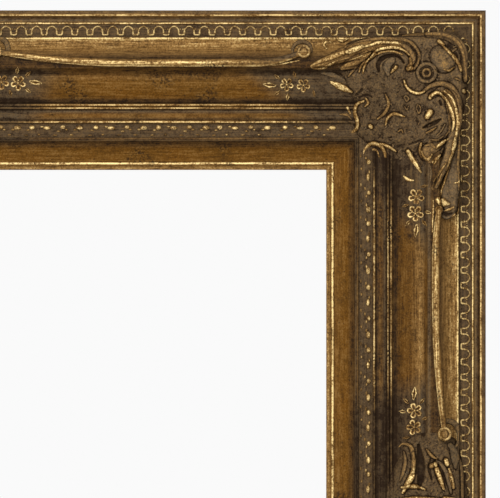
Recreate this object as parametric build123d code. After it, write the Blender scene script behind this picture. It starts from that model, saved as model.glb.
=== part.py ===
from build123d import *
import math
import os

# Ornate gilded swept frame for a landscape picture, open at the front and back.
# Row frame: X to the right, Z up, the front faces -Y, and the back lies on the plane Y = 0.
# Pieces are drawn flat on a bench, x right, y up the picture, z towards the viewer, then stood up.

# Picture and rebate, millimetres
PICTURE_WIDTH = 609.6
PICTURE_HEIGHT = 508.0
PICTURE_PLAY = 3.2
REBATE_DEPTH = 16.0
SIGHT_LAP = 6.35

# Moulding members from the outer edge to the sight edge: widths
BACK_BEAD_WIDTH = 5.0
GUTTER_WIDTH = 4.0
QUIRK_BEAD_WIDTH = 1.8
LUNETTE_BAND_WIDTH = 9.5
ARRIS_WIDTH = 1.9
COVE_WIDTH = 13.2
LAND_WIDTH = 8.4
UNDERCUT_WIDTH = 5.2
PANEL_WIDTH = 21.2
FILLET_WIDTH = 2.5
STEP_WIDTH = 7.8
STEP_BEAD_WIDTH = 2.6
BERRY_BAND_WIDTH = 10.6
BERRY_FILLET_WIDTH = 2.6
LINER_HOLLOW_WIDTH = 3.4
LINER_SCOOP_WIDTH = 12.4
SIGHT_BEAD_WIDTH = 2.6
SIGHT_FLAT_WIDTH = 3.45

# Heights of the members above the back
SIDE_DEPTH = 39.0
GUTTER_HEIGHT = 40.0
QUIRK_HEIGHT = 40.5
ARRIS_HEIGHT = 43.2
LAND_HEIGHT = 52.5
PANEL_HEIGHT = 46.0
FILLET_HEIGHT = 38.0
STEP_HEIGHT = 36.4
STEP_BEAD_HEIGHT = 35.2
BERRY_FILLET_HEIGHT = 34.2
LINER_HEIGHT = 30.0
SIGHT_HEIGHT = 24.2
SIGHT_EDGE_HEIGHT = 22.5

# Crowns: how far a member's middle stands above (+) or lies below (-) the line between its edges
BEAD_CROWN = 0.9
BACK_BEAD_CROWN = 1.6
GUTTER_CROWN = -1.2
COVE_CROWN = -3.2
UNDERCUT_CROWN = -1.4
PANEL_CROWN = 1.8
STEP_CROWN = 0.6
LINER_CROWN = -0.9

# Moulded runs let into channels in the rails
RUN_THICKNESS = 2.4
LUNETTE_SEAT_HEIGHT = 38.8
BERRY_SEAT_HEIGHT = 31.6

# Swept bead: a raised line along each half rail that swings out to a ball at each end
SWEPT_BEAD_WIDTH = 6.4
SWEPT_BEAD_RISE = 6.0
SWEPT_BEAD_SHOULDER = 3.4
SWEPT_BEAD_SWING = 3.8
SWEPT_BEAD_SWING_LENGTH = 45.0
BALL_RADIUS = 4.6
BALL_ROOT_RADIUS = 7.0
BALL_OFFSET = 4.6
TOP_BALL_FROM_CORNER = 137.6
SIDE_BALL_FROM_CORNER = 147.6
BALL_FROM_CENTRE = 49.5
BEAD_ROOT = 14.0

# Ornament bodies
CORNER_CROWN_HEIGHT = 60.0
CORNER_CROWN_RADIUS = 112.0
CENTRE_CROWN_HEIGHT = 58.5
CENTRE_CROWN_RADIUS = 95.0
ORNAMENT_ROOT = 20.0
CUSHION_SWEEP = 80.0
CUSHION_FLATS = 8
SEAT_CLEARANCE = 0.9
SPRIG_FROM_PANEL_EDGE = 4.6
SCROLL_ROOT = 16.0
SCROLL_BACK_SHARE = 0.35
LONG_SCROLL_STATIONS = 9
SHORT_SCROLL_STATIONS = 6
FLOWER_RADIUS = 5.2
FLOWER_NOTCH_RADIUS = 3.4
FLOWER_ROOT = 9.0
FLOWER_RISE = 4.0
FLOWER_PITCH = 13.0
PETALS = 5
STALK_WIDTH = 3.0
STALK_TAIL = 46.0
STALK_DROP = 2.0
LEAF_LENGTH = 15.0
LEAF_WIDTH = 7.0
LEAF_BELLY = 6.3
LEAF_SPREAD = 35.0
SHELL_RISE = 1.5
ROSETTE_RADIUS = 6.2
ROSETTE_RING_RADIUS = 4.4
ROSETTE_RING_DEPTH = 1.2
ROSETTE_EYE_RADIUS = 2.6
ROSETTE_RISE = 2.6

# Back of the frame: mitre wedges, turn buttons, hangers and bumpers
WEDGE_LEG = 8.0
WEDGE_GAUGE = 0.8
WEDGE_DEPTH = 10.0
WEDGE_PITCH = 36.0
WEDGE_FIRST = 22.0
WEDGES_PER_CORNER = 3
BUTTON_REACH = 30.0
BUTTON_HEEL_RADIUS = 7.5
BUTTON_TOE_RADIUS = 4.5
BUTTON_GAUGE = 1.5
BUTTON_RIB_WIDTH = 3.0
BUTTON_RIB_RISE = 0.8
BUTTON_PLAY = 0.2
BUTTON_INSET = 10.0
BUTTON_SPREAD = 300.0
SCREW_RADIUS = 1.75
SCREW_LENGTH = 14.0
SCREW_HEAD_RADIUS = 3.6
SCREW_HEAD_HEIGHT = 2.2
SCREW_PLAY = 0.08
SCREW_SIDES = 10
BOSS_SIDES = 12
BEND_STEPS = 3
BOW_STEPS = 8
STRAP_LENGTH = 52.0
STRAP_WIDTH = 15.0
STRAP_GAUGE = 1.5
STRAP_FIRST_HOLE = 12.0
STRAP_HOLE_PITCH = 24.0
RING_WIRE_RADIUS = 1.5
RING_WIRE_SIDES = 6
RING_WIDTH = 26.0
RING_DEPTH = 20.0
RING_CORNER_RADIUS = 3.5
HINGE_PLAY = 0.1
HANGER_INSET = 22.0
HANGER_ABOVE_CENTRE = 150.0
BUMPER_RADIUS = 6.5
BUMPER_THICKNESS = 7.0
BUMPER_BEVEL = 1.0
BUMPER_INSET = 26.0

# Worked out from the values above
MEMBER_WIDTHS = [
    BACK_BEAD_WIDTH, GUTTER_WIDTH, QUIRK_BEAD_WIDTH, LUNETTE_BAND_WIDTH, ARRIS_WIDTH, COVE_WIDTH, LAND_WIDTH,
    UNDERCUT_WIDTH, PANEL_WIDTH, FILLET_WIDTH, FILLET_WIDTH, STEP_WIDTH, STEP_BEAD_WIDTH, BERRY_BAND_WIDTH,
    BERRY_FILLET_WIDTH, LINER_HOLLOW_WIDTH, LINER_SCOOP_WIDTH, SIGHT_BEAD_WIDTH, SIGHT_FLAT_WIDTH,
]
moulding_width = sum(MEMBER_WIDTHS)
rebate_wall = moulding_width - SIGHT_LAP
outer_width = PICTURE_WIDTH + PICTURE_PLAY + 2 * rebate_wall
outer_height = PICTURE_HEIGHT + PICTURE_PLAY + 2 * rebate_wall
lunette_start = BACK_BEAD_WIDTH + GUTTER_WIDTH + QUIRK_BEAD_WIDTH
land_start = lunette_start + LUNETTE_BAND_WIDTH + ARRIS_WIDTH + COVE_WIDTH
bead_line = land_start + LAND_WIDTH / 2
panel_start = land_start + LAND_WIDTH + UNDERCUT_WIDTH
sprig_line = panel_start + SPRIG_FROM_PANEL_EDGE
berry_end = moulding_width - sum(MEMBER_WIDTHS[-5:])
berry_start = berry_end - BERRY_BAND_WIDTH
eye_radius = RING_WIRE_RADIUS + HINGE_PLAY + STRAP_GAUGE
strap_holes = (-STRAP_FIRST_HOLE, -STRAP_FIRST_HOLE - STRAP_HOLE_PITCH)
clear_height = CORNER_CROWN_HEIGHT + ORNAMENT_ROOT

STALK_ALIGN = (Align.MIN, Align.CENTER, Align.MAX)
SIDES = {"bottom": 0, "right": 90, "top": 180, "left": 270}
CORNERS = {"top_right": (1, 1), "top_left": (-1, 1), "bottom_left": (-1, -1), "bottom_right": (1, -1)}


def side_length(side):
    return outer_width if side in ("bottom", "top") else outer_height


def half_span(side):
    return (outer_height if side in ("bottom", "top") else outer_width) / 2


def at_side(side, shape):
    """Move a shape from rail axes (along, in from the outer edge, up) to its side of the frame."""
    return Rot(0, 0, SIDES[side]) * Pos(0, -half_span(side), 0) * shape


def at_corner(shape):
    """Move a shape from corner axes (in from the side, in from the top, up) to the top right corner."""
    return Pos(outer_width / 2, outer_height / 2, 0) * Rot(0, 0, 180) * shape


def mirrored(shape, across, up):
    """Copy a shape of the top right quarter to the quarter on the given side of the two centre lines."""
    if across < 0:
        shape = mirror(shape, about=Plane.YZ)
    if up < 0:
        shape = mirror(shape, about=Plane.XZ)
    return shape


def stood_up(shape):
    """Turn a shape from bench axes to the row frame, front to -Y."""
    return Rot(90, 0, 0) * shape


def prism(radius, height, sides, outside=False):
    """A round post or hole in flats, its corners on the radius, or its flats with outside set."""
    return extrude(RegularPolygon(radius, sides, major_radius=not outside), amount=height)


def bend(centre, radius, first, last, steps):
    """Points round a bend in equal steps, angles in degrees."""
    points = []
    for number in range(steps + 1):
        angle = math.radians(first + (last - first) * number / steps)
        points.append((centre[0] + radius * math.cos(angle), centre[1] + radius * math.sin(angle)))
    return points


def write(name, *solids):
    shapes = [stood_up(solid) for solid in solids]
    whole = shapes[0] if len(shapes) == 1 else Compound(children=shapes)
    whole.label = name
    export_step(whole, os.path.join("parts", name + ".step"))


# Moulding
def member(start, end, crown=0.0):
    """One member of the moulding: a flat, a round or a hollow between two points."""
    if crown == 0.0:
        return Line(start, end)
    middle = ((start[0] + end[0]) / 2, (start[1] + end[1]) / 2 + crown)
    return ThreePointArc(start, middle, end)


def moulding_profile():
    """Section of a rail: in from the outer edge, up from the back."""
    rows = [
        (BACK_BEAD_WIDTH, SIDE_DEPTH, GUTTER_HEIGHT, BACK_BEAD_CROWN),
        (GUTTER_WIDTH, GUTTER_HEIGHT, QUIRK_HEIGHT, GUTTER_CROWN),
        (QUIRK_BEAD_WIDTH, QUIRK_HEIGHT, QUIRK_HEIGHT, BEAD_CROWN),
        (LUNETTE_BAND_WIDTH, LUNETTE_SEAT_HEIGHT, LUNETTE_SEAT_HEIGHT, 0.0),
        (ARRIS_WIDTH, ARRIS_HEIGHT, ARRIS_HEIGHT, BEAD_CROWN / 2),
        (COVE_WIDTH, ARRIS_HEIGHT, LAND_HEIGHT, COVE_CROWN),
        (LAND_WIDTH, LAND_HEIGHT, LAND_HEIGHT, 0.0),
        (UNDERCUT_WIDTH, LAND_HEIGHT, PANEL_HEIGHT, UNDERCUT_CROWN),
        (PANEL_WIDTH, PANEL_HEIGHT, FILLET_HEIGHT, PANEL_CROWN),
        (FILLET_WIDTH, FILLET_HEIGHT, FILLET_HEIGHT, BEAD_CROWN),
        (FILLET_WIDTH, FILLET_HEIGHT, FILLET_HEIGHT, BEAD_CROWN),
        (STEP_WIDTH, STEP_HEIGHT, STEP_BEAD_HEIGHT, STEP_CROWN),
        (STEP_BEAD_WIDTH, STEP_BEAD_HEIGHT, STEP_BEAD_HEIGHT, BEAD_CROWN),
        (BERRY_BAND_WIDTH, BERRY_SEAT_HEIGHT, BERRY_SEAT_HEIGHT, 0.0),
        (BERRY_FILLET_WIDTH, BERRY_FILLET_HEIGHT, BERRY_FILLET_HEIGHT, BEAD_CROWN),
        (LINER_HOLLOW_WIDTH, BERRY_FILLET_HEIGHT, LINER_HEIGHT, LINER_CROWN),
        (LINER_SCOOP_WIDTH, LINER_HEIGHT, SIGHT_HEIGHT, LINER_CROWN),
        (SIGHT_BEAD_WIDTH, SIGHT_HEIGHT, SIGHT_HEIGHT, BEAD_CROWN),
        (SIGHT_FLAT_WIDTH, SIGHT_HEIGHT, SIGHT_EDGE_HEIGHT, 0.0),
    ]
    edges = []
    here = (0.0, 0.0)
    reach = 0.0
    for width, start_height, end_height, crown in rows:
        start = (reach, start_height)
        if start != here:
            edges.append(Line(here, start))
        reach += width
        here = (reach, end_height)
        edges.append(member(start, here, crown))
    for point in [(reach, REBATE_DEPTH), (rebate_wall, REBATE_DEPTH), (rebate_wall, 0.0), (0.0, 0.0)]:
        edges.append(Line(here, point))
        here = point
    return make_face(Wire(edges))


def mitred(section, length):
    """Run a section along a rail and cut both ends at 45 degrees, outer edge the full length."""
    run = extrude(Plane.YZ * section, amount=length / 2, both=True)
    inner = length / 2 - moulding_width
    outer = length / 2
    outline = Polyline((-outer, 0), (outer, 0), (inner, moulding_width), (-inner, moulding_width), close=True)
    return run & extrude(make_face(outline), amount=clear_height)


def seat_section():
    """What an ornament sits on: the land, and flats just clear of the crests of the other members."""
    arris_end = lunette_start + LUNETTE_BAND_WIDTH + ARRIS_WIDTH
    panel_end = panel_start + PANEL_WIDTH
    liner_start = berry_end + BERRY_FILLET_WIDTH
    lunette_top = LUNETTE_SEAT_HEIGHT + RUN_THICKNESS
    berry_top = BERRY_SEAT_HEIGHT + RUN_THICKNESS
    edge_top = max(ARRIS_HEIGHT, QUIRK_HEIGHT + BEAD_CROWN, lunette_top) + SEAT_CLEARANCE
    fillet_top = max(FILLET_HEIGHT + BEAD_CROWN, STEP_HEIGHT + STEP_CROWN) + SEAT_CLEARANCE
    liner_top = max(BERRY_FILLET_HEIGHT + BEAD_CROWN, berry_top) + SEAT_CLEARANCE
    points = [
        (0, 0),
        (0, edge_top),
        (arris_end, edge_top),
        (land_start, LAND_HEIGHT),
        (land_start + LAND_WIDTH, LAND_HEIGHT),
        (panel_start, PANEL_HEIGHT + SEAT_CLEARANCE),
        ((panel_start + panel_end) / 2, (PANEL_HEIGHT + FILLET_HEIGHT) / 2 + PANEL_CROWN + SEAT_CLEARANCE),
        (panel_end + 2 * FILLET_WIDTH, fillet_top),
        (liner_start, liner_top),
        (moulding_width, SIGHT_HEIGHT + BEAD_CROWN + SEAT_CLEARANCE),
        (moulding_width, 0),
    ]
    return make_face(Polyline(*points, close=True))


def strip_section(start, width, seat_height):
    return Pos(start + width / 2, seat_height + RUN_THICKNESS / 2) * Rectangle(width, RUN_THICKNESS)


# Swept bead
def swept_bead(side, ball_from_corner):
    """The bead of one half rail in rail axes, from ball to ball between its two ornaments."""
    far = side_length(side) / 2 - ball_from_corner
    near = BALL_FROM_CENTRE
    swung = bead_line - SWEPT_BEAD_SWING
    run_out = far - SWEPT_BEAD_SWING_LENGTH
    run_in = near + SWEPT_BEAD_SWING_LENGTH
    last = TangentArc((run_out, bead_line), (far, swung), tangent=(1, 0))
    first = TangentArc((run_in, bead_line), (near, swung), tangent=(-1, 0))
    path = Wire([first, Line((run_in, bead_line), (run_out, bead_line)), last])
    start = first @ 1
    heading = first % 1
    half = SWEPT_BEAD_WIDTH / 2
    back = half * SCROLL_BACK_SHARE
    section = make_face(Polyline(
        (-half, -BEAD_ROOT), (half, -BEAD_ROOT), (half, SWEPT_BEAD_SHOULDER), (back, SWEPT_BEAD_RISE),
        (-back, SWEPT_BEAD_RISE), (-half, SWEPT_BEAD_SHOULDER), close=True,
    ))
    across = Vector(0, 0, 1).cross(heading)
    bead = sweep(Plane(origin=start, x_dir=across, z_dir=heading) * section, path=path)
    for place in (near, far):
        bead += Pos(place, swung - BALL_OFFSET, SWEPT_BEAD_RISE) * ball_post()
    return Pos(0, 0, LAND_HEIGHT) * bead


def ball_post():
    """The button that ends a swept bead, tapered to its face, on a root that its seat trims."""
    face = RegularPolygon(BALL_RADIUS, BOSS_SIDES)
    root = Pos(0, 0, -BEAD_ROOT - SWEPT_BEAD_RISE) * RegularPolygon(BALL_ROOT_RADIUS, BOSS_SIDES)
    return loft([root, face], ruled=True)


# Ornament
def scroll_section(path, place, width, rise):
    """Section of a scroll, two bevels and a flat back on a deep root, square to its path."""
    half = width / 2
    back = half * SCROLL_BACK_SHARE
    outline = Polyline(
        (-half, -SCROLL_ROOT), (half, -SCROLL_ROOT), (half, 0),
        (back, rise), (-back, rise), (-half, 0), close=True,
    )
    heading = path % place
    across = Vector(0, 0, 1).cross(heading)
    return Plane(origin=path @ place, x_dir=across, z_dir=heading) * make_face(outline)


def scroll(points, widths, rise, base, stations=SHORT_SCROLL_STATIONS):
    """A carved scroll that swells and tapers along a curve: widths at its start, belly and end."""
    path = Spline(*points)
    start, belly, end = widths
    sections = []
    for number in range(stations):
        place = number / (stations - 1)
        tip = start if place < 0.5 else end
        width = belly + (tip - belly) * (2 * place - 1) ** 2
        sections.append(scroll_section(path, place, width, rise * width / belly))
    return Pos(0, 0, base) * loft(sections, ruled=True)


def cushion(outline_points, centre, ridge_heading, height, radius):
    """The swelling ground of an ornament: an outline under a shallow arch of flats along the heading."""
    outline = make_face(Polyline(*outline_points, close=True))
    block = Pos(0, 0, height - ORNAMENT_ROOT * 2) * extrude(outline, amount=ORNAMENT_ROOT * 2)
    arch = bend((0, -radius), radius, 90 + CUSHION_SWEEP / 2, 90 - CUSHION_SWEEP / 2, CUSHION_FLATS)
    section = make_face(Polyline((0, -radius), *arch, close=True))
    barrel = Rot(0, 0, ridge_heading) * extrude(Plane.YZ * section, amount=radius, both=True)
    return block & Pos(*centre, height) * barrel


def leaf(place, heading, top):
    """A pointed leaf with a ridge along its middle, its stalk end at the given place."""
    half = LEAF_WIDTH / 2
    outline = Polyline((0, 0), (LEAF_BELLY, -half), (LEAF_LENGTH, 0), (LEAF_BELLY, half), close=True)
    blade = extrude(make_face(outline), amount=FLOWER_ROOT, both=True)
    gable = Polyline((-LEAF_WIDTH, -LEAF_WIDTH), (LEAF_WIDTH, -LEAF_WIDTH), (0, 0), close=True)
    ridge = extrude(Plane.YZ * make_face(gable), amount=LEAF_LENGTH)
    return Pos(*place, top) * Rot(0, 0, heading) * (blade & ridge)


def flower(place, top):
    """A flat flower of pointed petals on a root that its seat trims."""
    step = math.pi / PETALS
    points = []
    for number in range(2 * PETALS):
        reach = FLOWER_RADIUS if number % 2 else FLOWER_NOTCH_RADIUS
        points.append((reach * math.cos(number * step), reach * math.sin(number * step)))
    return Pos(*place, top) * extrude(make_face(Polyline(*points, close=True)), amount=-FLOWER_ROOT)


def sprig(place, heading, top):
    """Two flowers on a stalk with three leaves at the tip, laid along the panel of a rail."""
    end = 2 * FLOWER_PITCH
    stalk = Box(end + STALK_TAIL, STALK_WIDTH, FLOWER_ROOT, align=STALK_ALIGN)
    stalk = Pos(-STALK_TAIL, 0, top - STALK_DROP) * stalk
    blooms = [flower((0, 0), top), flower((FLOWER_PITCH, 0), top)]
    leaf_place = (end - FLOWER_RADIUS, 0)
    leaves = [leaf(leaf_place, turn, top - STALK_DROP / 2) for turn in (-LEAF_SPREAD, 0, LEAF_SPREAD)]
    return Pos(*place, 0) * Rot(0, 0, heading) * (stalk + blooms + leaves)


def corner_ornament():
    """Corner cartouche in corner axes: a cushion with scrolls, a shell rim, a rosette and two sprigs."""
    outline = [
        (104, 33), (95, 72), (88, 99), (72, 104), (54, 114), (34, 110),
        (23, 86), (17, 52), (18, 21), (52, 20), (90, 27),
    ]
    ground = cushion(outline, (46, 46), 135, CORNER_CROWN_HEIGHT, CORNER_CROWN_RADIUS)
    scrolls = [
        scroll(
            [(130, 41), (107, 31.5), (91, 26), (72, 24), (59, 27.5), (52, 36), (53, 42.5), (57.5, 44.5)],
            (4, 11, 5), 8, 54, LONG_SCROLL_STATIONS,
        ),
        scroll(
            [
                (41, 66), (36, 61.5), (30, 60), (25, 63.5), (21.5, 72), (21, 83), (22.5, 97), (29.5, 118),
                (37.5, 135),
            ],
            (5, 10, 4), 8, 52, LONG_SCROLL_STATIONS,
        ),
        scroll(
            [(60.5, 50.5), (59.5, 56), (56, 61), (50, 63.5), (45, 60.5), (40, 56.5), (33, 55)],
            (4, 5, 3), 4, 58,
        ),
        scroll(
            [(56.5, 19), (44, 18), (29.5, 18.5), (20, 23.5), (16, 32.5), (15.5, 42), (16.5, 53)],
            (4, 6, 4), 4, 49,
        ),
        scroll([(91, 68), (96.5, 71), (98.5, 77), (97.5, 85), (100, 91.5), (106, 95.5)], (4, 5, 3), 5, 42),
        scroll([(92.5, 110), (89.5, 102.5), (83, 99.5), (77, 103), (76, 110)], (3, 5, 3), 5, 38),
        scroll([(66, 99), (57.5, 106), (55, 113), (49, 122.5)], (3, 6, 4), 5, 46),
    ]
    rosette = Pos(44.5, 47.5, CORNER_CROWN_HEIGHT) * rosette_boss()
    leaves = [leaf((98, 49), 35, 54), leaf((54, 74), 80, 59)]
    leaves += [leaf((47, 96), 75, 52), leaf((40, 100), 100, 51)]
    height = PANEL_HEIGHT + FLOWER_RISE
    sprigs = [sprig((136, sprig_line), 0, height), sprig((sprig_line, 139), 90, height)]
    return ground + scrolls + rosette + leaves + sprigs


def rosette_boss():
    """A round boss with a sunk ring and a raised eye."""
    boss = prism(ROSETTE_RADIUS, -ORNAMENT_ROOT, BOSS_SIDES)
    ring = prism(ROSETTE_RING_RADIUS, -ROSETTE_RING_DEPTH, BOSS_SIDES)
    eye = prism(ROSETTE_EYE_RADIUS, -ORNAMENT_ROOT, BOSS_SIDES)
    return Pos(0, 0, ROSETTE_RISE) * (boss - ring + eye)


def handed(points, hand):
    """Points on one half of a rail, or their mirror image on the other."""
    return [(hand * along, inward) for along, inward in points]


def centre_ornament():
    """Centre cartouche in rail axes: a cushion, a shell of leaves, paired scrolls and two sprigs."""
    outline = [(42, 30), (40, 57), (16, 68), (-16, 68), (-40, 57), (-42, 30), (-14, 22), (14, 22)]
    ground = cushion(outline, (0, 40), 0, CENTRE_CROWN_HEIGHT, CENTRE_CROWN_RADIUS)
    pieces = []
    for hand in (1, -1):
        turned = 0 if hand > 0 else 180
        curl = [(35, 41), (39.5, 34), (34, 28), (20, 27), (7, 21)]
        wave = [(44, 62), (33, 55), (20, 57), (8, 65)]
        stem = [(27, 39), (16, 37), (6, 31)]
        pieces.append(scroll(handed(curl, hand), (5, 8, 5), 6, 54))
        pieces.append(scroll(handed(wave, hand), (4, 7, 4), 6, 49))
        pieces.append(scroll(handed(stem, hand), (4, 6, 3), 5, 56))
        pieces.append(sprig((hand * 54.5, sprig_line), turned, PANEL_HEIGHT + FLOWER_RISE))
    shell = [leaf((0, 62), -90 + turn, CENTRE_CROWN_HEIGHT + SHELL_RISE) for turn in (-50, 0, 50)]
    return ground + pieces + shell


# Back hardware
def wood_screw(head_base):
    """A round-head screw seen from the back: bench z up, driven towards +z from the given head base."""
    shank = prism(SCREW_RADIUS, SCREW_LENGTH, SCREW_SIDES)
    head = prism(SCREW_HEAD_RADIUS, -SCREW_HEAD_HEIGHT, SCREW_SIDES)
    return Pos(0, 0, head_base) * (shank + head)


def pilot_hole(head_base):
    """Hole in the back of a rail for a screw whose head seats at the given height."""
    depth = SCREW_LENGTH + head_base + SCREW_PLAY
    return prism(SCREW_RADIUS + SCREW_PLAY, depth, SCREW_SIDES, outside=True)


def turn_button():
    """A stamped turn button behind the back, its pivot at the origin and its toe towards +x."""
    toe = Pos(BUTTON_REACH - BUTTON_TOE_RADIUS, 0) * RegularPolygon(BUTTON_TOE_RADIUS, BOSS_SIDES)
    outline = make_hull(RegularPolygon(BUTTON_HEEL_RADIUS, BOSS_SIDES).edges() + toe.edges())
    plate = Pos(0, 0, -BUTTON_PLAY) * extrude(outline, amount=-BUTTON_GAUGE)
    rib_length = BUTTON_REACH - BUTTON_HEEL_RADIUS - BUTTON_TOE_RADIUS
    rib_middle = (BUTTON_REACH + BUTTON_HEEL_RADIUS - BUTTON_TOE_RADIUS) / 2
    rib = extrude(Rectangle(rib_length, BUTTON_RIB_WIDTH), amount=-BUTTON_RIB_RISE)
    hole = prism(SCREW_RADIUS + HINGE_PLAY, -clear_height, SCREW_SIDES, outside=True)
    return plate + Pos(rib_middle, 0, -BUTTON_PLAY - BUTTON_GAUGE) * rib - hole


def hanger_strap():
    """A hanger strap on the back, folded round an eye at the origin, its tail towards -x."""
    across = Pos(0, STRAP_WIDTH / 2, -eye_radius) * Rot(90, 0, 0)
    eye = across * prism(eye_radius, STRAP_WIDTH, BOSS_SIDES)
    bore = across * prism(RING_WIRE_RADIUS + HINGE_PLAY, STRAP_WIDTH, BOSS_SIDES, outside=True)
    straight = STRAP_LENGTH - STRAP_WIDTH / 2
    outline = Pos(-straight / 2, 0) * Rectangle(straight, STRAP_WIDTH)
    outline += Pos(-straight, 0) * RegularPolygon(STRAP_WIDTH / 2, BOSS_SIDES)
    strap = extrude(outline, amount=-STRAP_GAUGE) + eye - bore
    hole = prism(SCREW_RADIUS + SCREW_PLAY, -clear_height, SCREW_SIDES, outside=True)
    for place in strap_holes:
        strap -= Pos(place, 0, 0) * hole
    return strap


def hanger_ring():
    """A D-ring through the eye of its strap, the bow towards +x, its bends in short flats."""
    half = RING_WIDTH / 2
    corner = RING_CORNER_RADIUS
    points = bend((corner, half - corner), corner, 180, 90, BEND_STEPS)
    points += bend((RING_DEPTH - half, 0), half, 90, -90, BOW_STEPS)
    points += bend((corner, corner - half), corner, 270, 180, BEND_STEPS)
    path = Polyline(*points, close=True)
    start = Plane(origin=path @ 0, z_dir=path % 0)
    wire = start * RegularPolygon(RING_WIRE_RADIUS, RING_WIRE_SIDES)
    return Pos(0, 0, -eye_radius) * sweep(wire, path=path, transition=Transition.RIGHT)


def wall_bumper():
    """A bumper on the back, bevelled round its face."""
    bumper = prism(BUMPER_RADIUS, -BUMPER_THICKNESS, BOSS_SIDES)
    return chamfer(bumper.edges().group_by(Axis.Z)[0], BUMPER_BEVEL)


def mitre_wedges():
    """Bent wedges that straddle a mitre, driven in flush from the back, in corner axes."""
    leg = WEDGE_LEG
    gauge = WEDGE_GAUGE
    angle = Polyline((0, 0), (leg, 0), (leg, gauge), (gauge, gauge), (gauge, leg), (0, leg), close=True)
    wedge = extrude(make_face(angle), amount=WEDGE_DEPTH)
    places = [WEDGE_FIRST + number * WEDGE_PITCH for number in range(WEDGES_PER_CORNER)]
    return [Pos(place, place, 0) * wedge for place in places]


def button_places():
    """Pivots of the turn buttons in rail axes: the side, the place along it and the way the toe points."""
    places = {}
    for side in ("top", "bottom"):
        along = BUTTON_SPREAD / 2
        places[side + "_left"] = (side, along if side == "top" else -along, 0)
        places[side + "_right"] = (side, -along if side == "top" else along, 180)
    places["left"] = ("left", 0, 0)
    places["right"] = ("right", 0, 180)
    return places


# Assembly
os.makedirs("parts", exist_ok=True)

profile = moulding_profile()
wedges = [at_corner(wedge) for wedge in mitre_wedges()]
all_wedges = [mirrored(wedge, *signs) for signs in CORNERS.values() for wedge in wedges]
button_line = rebate_wall - BUTTON_INSET
button_head = -BUTTON_GAUGE - 2 * BUTTON_PLAY
hanger_line = HANGER_INSET + STRAP_LENGTH

rails = {}
for side in SIDES:
    rails[side] = at_side(side, mitred(profile, side_length(side)))

button_screws = []
for name, (side, along, turned) in button_places().items():
    pivot = Pos(along, button_line, 0)
    write("turn_button_" + name, at_side(side, pivot * Rot(0, 0, turned) * turn_button()))
    button_screws.append(at_side(side, pivot * wood_screw(button_head)))
    rails[side] -= at_side(side, pivot * pilot_hole(button_head))
write("turn_button_screws", *button_screws)

hanger_screws = []
for side, across in (("right", 1), ("left", -1)):
    eye_place = Pos(outer_width / 2 - hanger_line, HANGER_ABOVE_CENTRE, 0) * Rot(0, 0, 180)
    write("hanger_strap_" + side, mirrored(eye_place * hanger_strap(), across, 1))
    write("hanger_ring_" + side, mirrored(eye_place * hanger_ring(), across, 1))
    for place in strap_holes:
        hanger_screws.append(mirrored(eye_place * Pos(place, 0, 0) * wood_screw(-STRAP_GAUGE), across, 1))
        rails[side] -= mirrored(eye_place * Pos(place, 0, 0) * pilot_hole(-STRAP_GAUGE), across, 1)
write("hanger_screws", *hanger_screws)

bumper = Pos(outer_width / 2 - BUMPER_INSET, outer_height / 2 - BUMPER_INSET, 0) * wall_bumper()
write("wall_bumpers", *[mirrored(bumper, *signs) for signs in CORNERS.values()])
write("mitre_wedges", *all_wedges)

lunette_section = strip_section(lunette_start, LUNETTE_BAND_WIDTH, LUNETTE_SEAT_HEIGHT)
berry_section = strip_section(berry_start, BERRY_BAND_WIDTH, BERRY_SEAT_HEIGHT)
for side in SIDES:
    rails[side] -= all_wedges
    write(side + "_rail", rails[side])
    write("lunette_run_" + side, at_side(side, mitred(lunette_section, side_length(side))))
    write("berry_run_" + side, at_side(side, mitred(berry_section, side_length(side))))

ornament_seats = {side: at_side(side, mitred(seat_section(), side_length(side))) for side in SIDES}
top_bead = at_side("top", swept_bead("top", TOP_BALL_FROM_CORNER))
top_bead = mirror(top_bead, about=Plane.YZ) - ornament_seats["top"]
side_bead = at_side("right", swept_bead("right", SIDE_BALL_FROM_CORNER)) - ornament_seats["right"]
for name, (across, up) in CORNERS.items():
    upper, hand = name.split("_")
    write("swept_bead_" + name, mirrored(top_bead, across, up))
    write("swept_bead_" + hand + "_" + upper, mirrored(side_bead, across, up))

corner = at_corner(corner_ornament()) - [ornament_seats["top"], ornament_seats["right"]]
for name, signs in CORNERS.items():
    write("corner_ornament_" + name, mirrored(corner, *signs))

for side in SIDES:
    write("centre_ornament_" + side, at_side(side, centre_ornament()) - ornament_seats[side])
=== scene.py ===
import math

import bmesh
import bpy
import numpy as np
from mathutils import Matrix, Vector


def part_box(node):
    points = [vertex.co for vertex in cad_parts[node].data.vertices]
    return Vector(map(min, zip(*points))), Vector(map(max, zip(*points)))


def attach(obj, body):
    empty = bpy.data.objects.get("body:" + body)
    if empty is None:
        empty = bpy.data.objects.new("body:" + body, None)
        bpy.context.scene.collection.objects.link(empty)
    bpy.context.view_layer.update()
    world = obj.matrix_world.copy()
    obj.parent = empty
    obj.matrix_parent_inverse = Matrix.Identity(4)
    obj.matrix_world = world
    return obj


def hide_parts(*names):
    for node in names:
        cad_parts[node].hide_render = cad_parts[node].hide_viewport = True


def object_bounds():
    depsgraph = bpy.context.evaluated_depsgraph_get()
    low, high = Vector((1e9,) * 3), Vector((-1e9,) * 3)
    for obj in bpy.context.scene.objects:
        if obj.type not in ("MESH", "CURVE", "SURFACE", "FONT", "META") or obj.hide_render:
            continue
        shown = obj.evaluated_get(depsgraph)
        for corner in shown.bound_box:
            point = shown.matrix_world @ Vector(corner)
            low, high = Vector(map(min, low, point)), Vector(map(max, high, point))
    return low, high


bl_info = {
    "name": "Gilded Swept Frame",
    "version": (1, 0, 0),
    "blender": (4, 5, 0),
    "location": "View3D > Sidebar > Gilded Frame",
    "description": "Mouldings, runs, ornaments and back hardware of an antiqued gilt picture frame",
    "category": "Object",
}

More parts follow.
